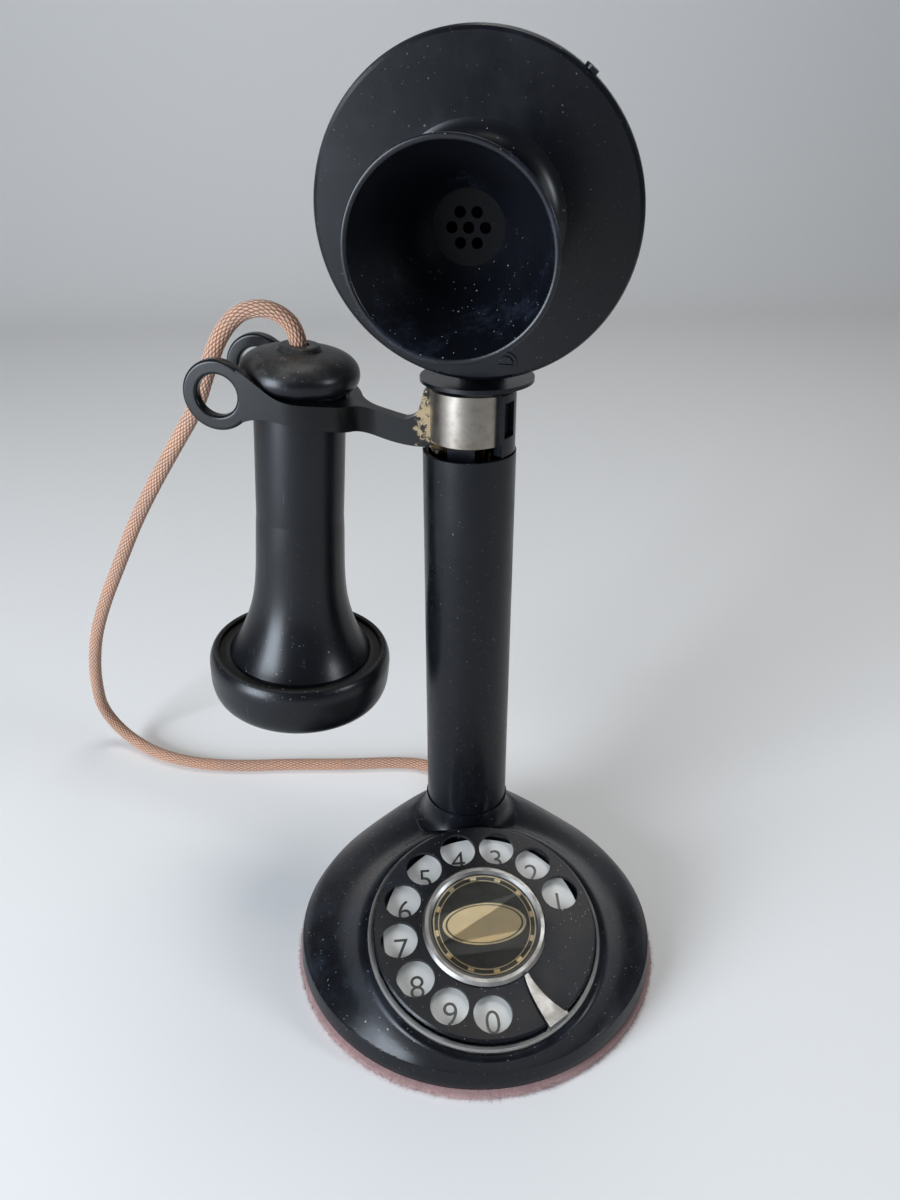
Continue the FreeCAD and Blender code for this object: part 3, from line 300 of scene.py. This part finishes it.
def black_enamel():
    """Baked black japan: near black, satin, with a faint film and specks of dust on what faces up.  The blue in
    its black and in its film is painted sheen.
    """
    finish = Finish("black_enamel", Specular_IOR_Level=0.26)
    film = mist(finish, 0.6)
    smear = finish.noise(34.0, 5.0, 0.7).smooth(0.46, 0.68)
    up = finish.facing_up().smooth(-0.1, 0.9)
    dust = settled_dust(finish) * (up * 0.8 + 0.2)
    # lighter blue grey where film and smears lie, the smears more on what faces up: the film and smears are real,
    # their blue is painted sheen
    body = finish.blend(film * 0.15 + smear * up * 0.30, black_with_painted_blue, colour(0.027, 0.034, 0.050))
    rough = 0.27 + film * 0.14 + smear * 0.10 + dust * 0.3
    finish.bump(finish.noise(900.0, 2.0) + finish.noise(60.0) * 2.0, 0.00002, 0.35)
    return finish.feed(Base_Color=finish.blend(dust * dust_cover, body, dust_colour),
                       Roughness=rough.least(0.9))


def hard_rubber():
    """Polished hard rubber: soft black with fine dust, old smears and a broad sheen.  The blue in its black and
    its smears is painted sheen.
    """
    finish = Finish("hard_rubber", Specular_IOR_Level=0.34)
    film = mist(finish, 0.6)
    smear = finish.noise(26.0, 6.0, 0.75).smooth(0.52, 0.64)
    up = finish.facing_up().smooth(-0.2, 0.9)
    dust = settled_dust(finish) * (up * 0.85 + 0.15)
    # blue black, lighter blue grey where film and smears lie: real film and smears, their blue is painted sheen
    body = finish.blend(film * 0.15 + smear * 0.35, colour(0.0024, 0.0029, 0.0048),
                        colour(0.024, 0.030, 0.046))
    rough = 0.30 + film * 0.14 - smear * 0.08 + dust * 0.3
    finish.bump(finish.noise(500.0, 3.0), 0.00002, 0.3)
    return finish.feed(Base_Color=finish.blend(dust * dust_cover, body, dust_colour),
                       Roughness=rough.least(0.9))


def receiver_rubber():
    """The receiver: hard rubber, greyed with dust on the knob and matt with it on the flat shoulder by
    the cap, with long scratches down the shell.  The blue in its black, its film and its scratches is
    painted sheen."""
    finish = Finish("receiver_rubber", Specular_IOR_Level=0.32)
    film = mist(finish, 0.6)
    up = finish.facing_up()
    x, y, z = finish.parts(finish.local(receiver))
    reach = (x * x + y * y) ** 0.5
    shoulder = reach.smooth(*shoulder_begins) * reach.smooth(*shoulder_ends) * up.smooth(0.55, 0.85)
    crown = z.smooth(*crown_begins) * up.smooth(0.1, 0.8)
    grit = finish.noise(1400.0, 3.0, 0.7)
    cloud = finish.noise(150.0, 5.0, 0.7).smooth(0.35, 0.7)
    lengthwise = finish.local(receiver, (8.0, 8.0, 0.35))
    scratch = finish.noise(110.0, 3.0, 0.6, lengthwise).smooth(0.66, 0.70)
    dust = settled_dust(finish) * up.smooth(-0.2, 0.9)
    # lighter blue grey where film and scratches lie: real film and scratches, their blue is painted sheen
    body = finish.blend(film * 0.12 + scratch * 0.35, black_with_painted_blue, colour(0.036, 0.042, 0.056))
    dusty = finish.blend(shoulder * (grit * 0.5 + 0.25), body, colour(0.050, 0.046, 0.040))
    dusty = finish.blend(crown * (cloud * 0.7 + 0.1), dusty, colour(0.060, 0.056, 0.050))
    rough = 0.29 + film * 0.14 + dust * 0.3 + scratch * 0.15 + shoulder * 0.4 + crown * 0.15
    finish.bump(finish.noise(500.0, 3.0) + grit * shoulder * 4.0, 0.00003, 0.4)
    return finish.feed(Base_Color=finish.blend(dust * dust_cover, dusty, dust_colour),
                       Roughness=rough.least(0.95))


def dull_black():
    """The grille at the bottom of the mouthpiece and what shows through it."""
    finish = Finish("dull_black", Specular_IOR_Level=0.08)
    dust = finish.noise(900.0, 3.0, 0.6).smooth(0.55, 0.8)
    shade = finish.blend(dust * 0.25, colour(0.0020, 0.0022, 0.0028), colour(0.03, 0.03, 0.03))
    return finish.feed(Base_Color=shade, Roughness=0.5 + dust * 0.3)


def nickel(name="nickel", tarnish=0.4, metal=colour(0.40, 0.395, 0.385), stain=colour(0.22, 0.185, 0.14)):
    """Old nickel plate, brushed by wear and browned in patches."""
    finish = Finish(name)
    patch = finish.noise(120.0, 5.0, 0.65).smooth(0.40, 0.72)
    pits = finish.specks(0.0014, 0.00017, 0.35)
    shade = finish.blend(patch * tarnish, metal, stain)
    finish.bump(finish.noise(700.0, 3.0), 0.00003, 0.3)
    return finish.feed(Base_Color=finish.blend(pits * 0.7, shade, colour(0.07, 0.055, 0.045)),
                       Metallic=1.0 - pits * 0.6, Roughness=0.30 + patch * 0.22 + pits * 0.3)


def worn_casting():
    """The hook: black lacquer on brass, rubbed through where it meets the neck."""
    wear_begins, wear_ends = 9.5 * MM, 0.5 * MM
    neck_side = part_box("neck_sleeve")[0].x
    finish = Finish("worn_casting", Specular_IOR_Level=0.28)
    film = mist(finish, 0.5)
    across = finish.parts(finish.position)[0]
    near_neck = across.smooth(neck_side - wear_begins, neck_side - wear_ends)
    rubbed = (finish.noise(190.0, 5.0, 0.7) + near_neck * 0.16).smooth(0.60, 0.66)
    edge = finish.noise(150.0, 4.0, 0.7).smooth(0.64, 0.70) * 0.25
    bare = (rubbed * near_neck.smooth(0.0, 0.2)).most(edge * near_neck)
    dust = finish.specks(0.0021, 0.00014, 0.4) * finish.facing_up().smooth(0.1, 0.9)
    body = finish.blend(film * 0.25, colour(0.0050, 0.0052, 0.0060), colour(0.032, 0.032, 0.034))
    body = finish.blend(dust * 0.6, body, colour(0.25, 0.24, 0.22))
    metal = finish.blend(finish.noise(500.0, 3.0), colour(0.36, 0.27, 0.15), colour(0.24, 0.19, 0.13))
    finish.bump(bare * -1.0 + finish.noise(300.0, 3.0) * 0.5, 0.00005, 0.5)
    return finish.feed(Base_Color=finish.blend(bare, body, metal), Metallic=bare,
                       Roughness=0.27 + film * 0.2 + bare * 0.15)


def white_enamel():
    """Vitreous enamel plate: warm white with a soft shine."""
    finish = Finish("white_enamel", Specular_IOR_Level=0.5, Coat_Weight=0.3, Coat_Roughness=0.1)
    grey = finish.noise(90.0, 4.0, 0.6).smooth(0.5, 0.85)
    specks = finish.specks(0.0026, 0.00014, 0.3)
    shade = finish.blend(grey * 0.25, colour(0.74, 0.735, 0.70), colour(0.52, 0.50, 0.45))
    return finish.feed(Base_Color=finish.blend(specks * 0.7, shade, colour(0.12, 0.10, 0.08)),
                       Roughness=0.25 + grey * 0.2)


def number_card():
    """Dark card with two cream rings, small bars between them and a plain cream oval across the middle,
    with a dark line inside its edge.  Its lengths are millimetres from the middle of the dial."""
    outer_ring, outer_half_width = 17.4, 0.22
    inner_ring, inner_half_width = 15.7, 0.16
    bars_begin, bars_end, bar_count, bar_gap = 16.0, 17.1, 12.0, 0.72
    oval_across, oval_along = 14.4, 7.4
    line_begins, line_ends = 0.78, 0.86
    finish = Finish("number_card")
    x, y, _ = finish.parts(finish.local(dial, (1 / MM, 1 / MM, 1 / MM)))
    reach = (x * x + y * y) ** 0.5
    outer = (reach - outer_ring).size().under(outer_half_width)
    inner = (reach - inner_ring).size().under(inner_half_width)
    angle = y.maths("ARCTAN2", x)
    bars = (angle * bar_count).wave().over(bar_gap) * reach.over(bars_begin) * reach.under(bars_end)
    oval = (x / oval_across) ** 2.0 + (y / oval_along) ** 2.0
    line = oval.over(line_begins) * oval.under(line_ends)
    cream = outer.most(inner).most(bars).most(oval.under(1.0)) * (1.0 - line)
    fade = finish.noise(300.0, 4.0, 0.6)
    dark = finish.blend(fade, colour(0.07, 0.068, 0.060), colour(0.16, 0.15, 0.125))
    pale = finish.blend(fade, colour(0.92, 0.78, 0.50), colour(0.80, 0.66, 0.40))
    return finish.feed(Base_Color=finish.blend(cream, dark, pale), Roughness=0.55)


def clear_sheet():
    """Clear sheet over the card, faintly hazed."""
    finish = Finish("clear_sheet", Transmission_Weight=1.0, IOR=1.3, Alpha=0.08, Roughness=0.12)
    return finish.feed(Base_Color=colour(0.95, 0.95, 0.93))


def felt():
    """Mauve felt, matt and uneven, with pale lint."""
    finish = Finish("felt", Sheen_Weight=0.5)
    tuft = finish.noise(1500.0, 4.0, 0.7)
    patch = finish.noise(70.0, 4.0, 0.6)
    lint = finish.noise(520.0, 5.0, 0.8).smooth(0.60, 0.72)
    shade = finish.blend(tuft, colour(0.20, 0.105, 0.100), colour(0.46, 0.290, 0.275))
    shade = finish.blend(patch.smooth(0.35, 0.75) * 0.5, shade, colour(0.20, 0.11, 0.10))
    finish.bump(tuft, 0.0004, 0.8)
    return finish.feed(Base_Color=finish.blend(lint * 0.5, shade, colour(0.52, 0.42, 0.38)), Roughness=0.95)


def plain_metal(name, base, rough):
    """Small steel or brass pieces: turned metal with a little grime."""
    finish = Finish(name, Metallic=1.0)
    grime = finish.noise(400.0, 4.0, 0.6).smooth(0.45, 0.75)
    return finish.feed(Base_Color=finish.blend(grime * 0.5, base, colour(0.10, 0.08, 0.06)),
                       Roughness=rough + grime * 0.2)


def grained(name, first, second, rough, scale, **settings):
    """Matt stuff or paint that wavers between two near colours."""
    finish = Finish(name, Roughness=rough, **settings)
    return finish.feed(Base_Color=finish.blend(finish.noise(scale), first, second))


strands_round = 14
strand_pitch = 3.1 * MM
flecks_round = 7
fleck_pitch = 6.2 * MM


def cotton_braid():
    """Braided cotton: two sets of crossing strands, salmon where they rise and a darker brown between them,
    which is painted shade in the grooves, with paler flecks in spirals and some dust.  The UV map gives
    the share of a turn round the cord and the metres along it."""
    finish = Finish("cotton_braid", Sheen_Weight=0.3)
    across, along, _ = finish.parts(finish.coordinates("UV"))
    turn, climb = across * (math.pi * strands_round), along * (math.pi / strand_pitch)
    one = (turn + climb).maths("COSINE").size()
    two = (turn - climb).maths("COSINE").size()
    crest_height_and_shade = (one * two).smooth(0.05, 0.75)
    thread = finish.noise(900.0, 3.0, 0.7)
    patch = finish.noise(55.0, 4.0, 0.6)
    spiral = across * (2 * math.pi * flecks_round) + along * (2 * math.pi / fleck_pitch)
    base = finish.blend(patch.smooth(0.3, 0.7), colour(0.64, 0.325, 0.190), colour(0.52, 0.300, 0.195))
    base = finish.blend(spiral.wave().smooth(0.3, 0.8) * 0.35, base, colour(0.74, 0.50, 0.36))
    # darker brown in the grooves between the strands: painted shade
    shade = finish.blend(crest_height_and_shade, colour(0.150, 0.072, 0.047), base)
    shade = finish.blend(thread.smooth(0.45, 0.75) * 0.35, shade, colour(0.55, 0.38, 0.29))
    finish.bump(crest_height_and_shade + thread * 0.5, 0.0002, 0.6)
    return finish.feed(Base_Color=shade, Roughness=0.85)


def floor_paint():
    """Plain pale floor."""
    finish = Finish("floor_paint", Specular_IOR_Level=0.2)
    return finish.feed(Base_Color=colour(0.88, 0.87, 0.85), Roughness=0.8)


finishes = {
    "black_enamel": black_enamel(),
    "hard_rubber": hard_rubber(),
    "nickel": nickel(),
    "aged_nickel": worn_casting(),
    "white_enamel": white_enamel(),
    "card": number_card(),
    "clear_sheet": clear_sheet(),
    "felt": felt(),
    "steel": plain_metal("steel", colour(0.42, 0.42, 0.42), 0.35),
    "brass": plain_metal("brass", colour(0.55, 0.40, 0.18), 0.35),
    "fibre": grained("fibre", colour(0.16, 0.045, 0.03), colour(0.26, 0.08, 0.05), 0.7, 600.0),
    "grommet_rubber": grained("grommet_rubber", colour(0.012, 0.012, 0.012), colour(0.035, 0.034, 0.032),
                              0.75, 500.0),
    "cotton_cord": cotton_braid(),
}
receiver_finish = receiver_rubber()
grille_finish = dull_black()
own_finish = {
    "mouthpiece_grille": grille_finish,
    "transmitter_diaphragm": grille_finish,
    "neck_sleeve": nickel("neck_nickel", 0.7, colour(0.27, 0.245, 0.215), colour(0.135, 0.105, 0.080)),
    "receiver_shell": receiver_finish,
    "receiver_cap": receiver_finish,
    "receiver_knob": receiver_finish,
}
for entry in frame["record"]["subparts"]:
    paint = own_finish.get(entry["node"], finishes[entry["material_slot"]])
    mesh = nodes[entry["node"]].data
    mesh.materials.clear()
    mesh.materials.append(paint)


# ---------------------------------------------------------------- cord
cord_diameter = 5.5 * MM
cord_in_knob = 8.5 * MM
strand_depth = 0.22 * MM
ring_spacing = 0.42 * MM
ring_points = 56
# a direction that the cord never takes, from which its rings are set out
cord_aside = np.array([0.64, 0.64, 0.42])
# millimetres, from above the knob down to the floor and round to the grommet behind the base
cord_route = [
    (-51.3, 44.0, 220.5), (-58.6, 44.4, 227.3), (-68.2, 46.0, 227.0), (-75.6, 47.6, 219.8),
    (-81.0, 50.5, 209.0), (-88.0, 60.4, 192.8), (-98.3, 69.2, 177.4), (-109.9, 78.7, 159.7),
    (-122.0, 88.8, 139.9), (-133.6, 99.0, 117.8), (-145.1, 109.2, 96.2), (-155.1, 118.9, 74.0),
    (-161.7, 128.3, 52.0), (-165.3, 136.5, 34.0), (-166.4, 141.0, 21.0), (-161.4, 140.7, 9.6),
    (-152.5, 135.7, 3.2), (-139.0, 124.2, 2.8), (-121.0, 115.3, 2.9), (-99.0, 111.0, 2.8),
    (-74.0, 109.9, 2.9), (-48.0, 107.2, 2.8), (-24.0, 106.4, 2.9), (-8.7, 102.7, 2.8),
    (-0.5, 91.6, 3.4), (0.0, 79.0, 7.9)]


def smooth_line(points):
    """Points of a quadratic NURBS line through its ends, with the given control points, in metres."""
    curve = bpy.data.curves.new("cord_line", "CURVE")
    curve.dimensions = "3D"
    curve.resolution_u = 24
    spline = curve.splines.new("NURBS")
    spline.points.add(len(points) - 1)
    spline.points.foreach_set("co", np.c_[points, np.ones(len(points))].ravel())
    spline.order_u = 3
    spline.use_endpoint_u = True
    holder = bpy.data.objects.new("cord_line", curve)
    line = bpy.data.meshes.new_from_object(holder)
    found = np.empty(len(line.vertices) * 3)
    line.vertices.foreach_get("co", found)
    bpy.data.meshes.remove(line)
    bpy.data.objects.remove(holder)
    return found.reshape(-1, 3)


def evenly(points, step):
    """The same line with points a fixed step apart, and how far along the line each one is."""
    gaps = np.linalg.norm(np.diff(points, axis=0), axis=1)
    run = np.r_[0, np.cumsum(gaps)]
    wanted = np.linspace(0, run[-1], int(run[-1] / step) + 1)
    return np.stack([np.interp(wanted, run, points[:, k]) for k in range(3)], 1), wanted


def strand_map(mesh, run, quads):
    """UV map of the cord: the share of a turn round it and the metres along it.  The quads that close a
    ring have their second and third corners at a whole turn, not at none."""
    corner = np.empty(len(mesh.loops), int)
    mesh.loops.foreach_get("vertex_index", corner)
    turn = (corner % ring_points) / ring_points
    quad_corner = np.arange(quads * 4)
    turn[quad_corner[(turn[quad_corner] == 0) & np.isin(quad_corner % 4, (1, 2))]] = 1.0
    layer = mesh.uv_layers.new(name="strands")
    layer.data.foreach_set("uv", np.stack([turn, run[corner // ring_points]], 1).ravel())


def braided_cord():
    """Tube along the cord's line.  Its radius is half the diameter less a groove, and the groove's share
    of its full depth is 1 less a height: the cosines of the two helix phases, both taken as positive,
    multiplied together, to the power 0.6."""
    grommet_low, grommet_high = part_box("cord_grommet")
    first = np.array(Vector(cord_route[0]) * MM - receiver_up * cord_in_knob)
    last = np.array([0, grommet_high.y, (grommet_low.z + grommet_high.z) / 2])
    control = np.vstack([first, np.array(cord_route) * MM, last])
    centre, run = evenly(smooth_line(control), ring_spacing)
    ahead = np.gradient(centre, axis=0)
    ahead /= np.linalg.norm(ahead, axis=1)[:, None]
    side = np.cross(ahead, cord_aside)
    side /= np.linalg.norm(side, axis=1)[:, None]
    other = np.cross(ahead, side)
    across, along = np.meshgrid(np.linspace(0, 1, ring_points, endpoint=False), run)
    one = np.abs(np.cos(math.pi * (strands_round * across + along / strand_pitch)))
    two = np.abs(np.cos(math.pi * (strands_round * across - along / strand_pitch)))
    radius = cord_diameter / 2 - strand_depth * (1 - (one * two) ** 0.6)
    angle = 2 * math.pi * across
    outward = np.cos(angle)[..., None] * side[:, None] + np.sin(angle)[..., None] * other[:, None]
    points = (centre[:, None] + radius[..., None] * outward).reshape(-1, 3)
    faces = grid_faces(len(run), ring_points).tolist()
    ring = np.arange(ring_points)
    ends = [ring[::-1].tolist(), (ring + (len(run) - 1) * ring_points).tolist()]
    piece = mesh_piece("receiver_cord", points, faces + ends)
    strand_map(piece.data, run, len(faces))
    paint_piece(piece, finishes["cotton_cord"])
    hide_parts("cord_upper", "cord_lower")
    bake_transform(piece)


braided_cord()


# ---------------------------------------------------------------- numerals
first_hole_angle = 19.3
hole_pitch = 360 / 13
numeral_circle = 29.0 * MM
numeral_size = 11.0 * MM
numeral_depth = 0.06 * MM
numeral_thinning = 0.006
numeral_drop = 2.5 * MM
plate_face = -3.6 * MM


def numeral(digit, placement):
    """One digit of plain type as a thin solid, centred on the placement and in its XY plane."""
    name = f"numeral_{digit}"
    letters = bpy.data.curves.new(name, "FONT")
    letters.body = str(digit)
    letters.size = numeral_size
    letters.align_x = "CENTER"
    letters.align_y = "CENTER"
    letters.extrude = numeral_depth / 2
    letters.offset = -numeral_size * numeral_thinning
    letters.resolution_u = 6
    holder = bpy.data.objects.new(name, letters)
    mesh = bpy.data.meshes.new_from_object(holder)
    bpy.data.objects.remove(holder)
    mesh.transform(placement)
    return add_object(name, mesh)


def numerals():
    """1 to 9 and 0, each on the number plate below the middle of its finger hole.  The holes' angles are
    degrees, anticlockwise from the dial's right."""
    ink = grained("numeral_paint", colour(0.008, 0.008, 0.008), colour(0.03, 0.03, 0.03), 0.35, 700.0,
                  Coat_Weight=0.3, Coat_Roughness=0.1)
    for place in range(10):
        angle = math.radians(first_hole_angle + hole_pitch * place)
        across, along = numeral_circle * math.cos(angle), numeral_circle * math.sin(angle)
        spot = Matrix.Translation((across, along - numeral_drop, plate_face))
        piece = numeral((place + 1) % 10, dial @ spot)
        paint_piece(piece, ink)
        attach(piece, "stand")


numerals()


# ---------------------------------------------------------------- felt
def felt_hairs(random, first):
    """Loose hairs round the felt's edge, each a bent three-sided spike: a triangle at the root, a
    smaller one half way and a tip.  A hair rises or sinks evenly with the share of its reach, and sweeps
    sideways with the 1.6 power of it.  Points are numbered from `first`."""
    count = 5200
    longest = 1.5 * MM
    root_depth, root_slope = 0.9 * MM, 0.4 * MM
    floor_gap = 0.05 * MM
    turn = random.uniform(0, 2 * np.pi, count)
    height = random.uniform(0.15, 0.95, count) * felt_height
    reach = random.uniform(0.25, 1.0, count) ** 2 * longest
    sweep = random.normal(0, 0.9, count)
    rise = random.normal(-0.1, 0.35, count)
    thick = random.uniform(0.025, 0.05, count) * MM
    points = []
    for share, corners in ((0.0, 3), (0.5, 3), (1.0, 1)):
        for corner in range(corners):
            swing = 2 * np.pi * corner / 3
            size = thick * (1.2 - share) * (corners > 1)
            out = felt_radius - root_depth + root_slope * share + reach * share
            around = turn + (sweep * reach * share ** 1.6 + size * np.cos(swing)) / felt_radius
            up = np.clip(height + rise * reach * share + size * np.sin(swing), floor_gap, felt_height)
            points.append(np.stack([out * np.cos(around), out * np.sin(around), up], -1))
    rows = first + (np.arange(count) * len(points))[:, None]
    root = (rows + [0, 2, 1]).tolist()
    sides = [(rows + [a, b, b + 3, a + 3]).tolist() for a, b in ((0, 1), (1, 2), (2, 0))]
    tips = [(rows + [a, b, 6]).tolist() for a, b in ((3, 4), (4, 5), (5, 3))]
    return np.stack(points, 1).reshape(-1, 3), sum(sides + tips, root)


def felt_disc():
    """Lathed disc with a fluffy edge: each ring's radius is the felt's plus a slow wander round the
    ring, less an even inset, how far the profile stands back there and a seeded fuzz."""
    columns = 720
    mean_inset, wander_size, fuzz_size = 0.45 * MM, 0.16 * MM, 0.35 * MM
    turn = np.linspace(0, 2 * np.pi, columns, endpoint=False)
    random = np.random.default_rng(4)
    wander = wander_size * soft_noise(turn, (3, 5, 9, 14, 23), 2)
    back = np.array([8.0, 0.55, 0.15, 0.0, 0.05, 0.35, 8.0]) * MM
    height = np.array([0.0, 0.0, 0.12, 0.45, 0.75, 0.98, 0.98]) * felt_height
    fuzz = random.uniform(0, fuzz_size, (len(back), columns)) * (back < back.max())[:, None]
    radius = felt_radius - mean_inset + wander - back[:, None] - fuzz
    level = np.broadcast_to(height[:, None], radius.shape)
    points = np.stack([radius * np.cos(turn), radius * np.sin(turn), level], -1).reshape(-1, 3)
    ring = np.arange(columns)
    faces = grid_faces(len(back), columns).tolist()
    faces += [ring[::-1].tolist(), (ring + (len(back) - 1) * columns).tolist()]
    hairs, hair_faces = felt_hairs(random, len(points))
    piece = mesh_piece("felt_disc", np.vstack([points, hairs]), faces + hair_faces)
    paint_piece(piece, finishes["felt"])
    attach(piece, "stand")
    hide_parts("base_felt")


felt_disc()


# ---------------------------------------------------------------- floor, camera and lights
def studio():
    """Pale floor that curves up into a backdrop behind the object: a level line, a quarter circle and
    an upright line, carried along X."""
    side, front, back, radius, height = 3.0, -2.5, 1.1, 0.6, 2.6
    bend = np.linspace(0, math.pi / 2, 24)
    y = np.r_[front, back + radius * np.sin(bend), back + radius]
    z = np.r_[0.0, radius - radius * np.cos(bend), height]
    rows = len(y)
    points = np.stack([np.tile([-side, side], rows), np.repeat(y, 2), np.repeat(z, 2)], 1)
    floor = mesh_piece("floor", points, grid_faces(rows, 2, False)[:, ::-1])
    floor.data.materials.append(floor_paint())


def viewpoint():
    """Camera in front of the telephone, looking down at it.  Its angles are degrees."""
    downward, roll, turn = 28.43, 0.09, -5.62
    camera = bpy.data.cameras.new("camera")
    camera.sensor_width = 36.0
    camera.sensor_fit = "AUTO"
    camera.lens = 28.05
    camera.clip_start = 0.01
    holder = add_object("camera", camera)
    holder.location = (-0.03370, -0.25137, 0.28445)
    holder.rotation_euler = (math.radians(90 - downward), math.radians(roll), math.radians(turn))
    bpy.context.scene.camera = holder


def soft_light(name, place, aim, size, power, tint):
    """Rectangular lamp at a place, turned to its aim; its power is in watts."""
    lamp = bpy.data.lights.new(name, "AREA")
    lamp.shape = "RECTANGLE"
    lamp.size, lamp.size_y = size
    lamp.energy = power
    lamp.color = tint
    holder = add_object(name, lamp)
    holder.location = place
    holder.rotation_euler = (Vector(aim) - Vector(place)).to_track_quat("-Z", "Y").to_euler()


def room_light(tint, strength):
    """Faint even light from all round."""
    world = bpy.data.worlds.new("room")
    bpy.context.scene.world = world
    world.use_nodes = True
    background = world.node_tree.nodes["Background"]
    background.inputs["Color"].default_value = tint
    background.inputs["Strength"].default_value = strength


studio()
viewpoint()
soft_light("window", place=(-0.95, -0.66, 0.36), aim=(0, 0.02, 0.17), size=(0.55, 0.75), power=24.0,
           tint=(0.80, 0.89, 1.0))
soft_light("overhead", place=(0.15, 0.25, 1.4), aim=(0, 0.02, 0.1), size=(0.7, 0.7), power=5.0,
           tint=(1.0, 0.98, 0.95))
soft_light("side", place=(0.80, -0.46, 0.48), aim=(0, 0, 0.22), size=(0.14, 0.3), power=2.6,
           tint=(0.86, 0.92, 1.0))
room_light(tint=colour(0.9, 0.93, 1.0), strength=0.16)

bpy.context.scene.view_settings.view_transform = "Standard"
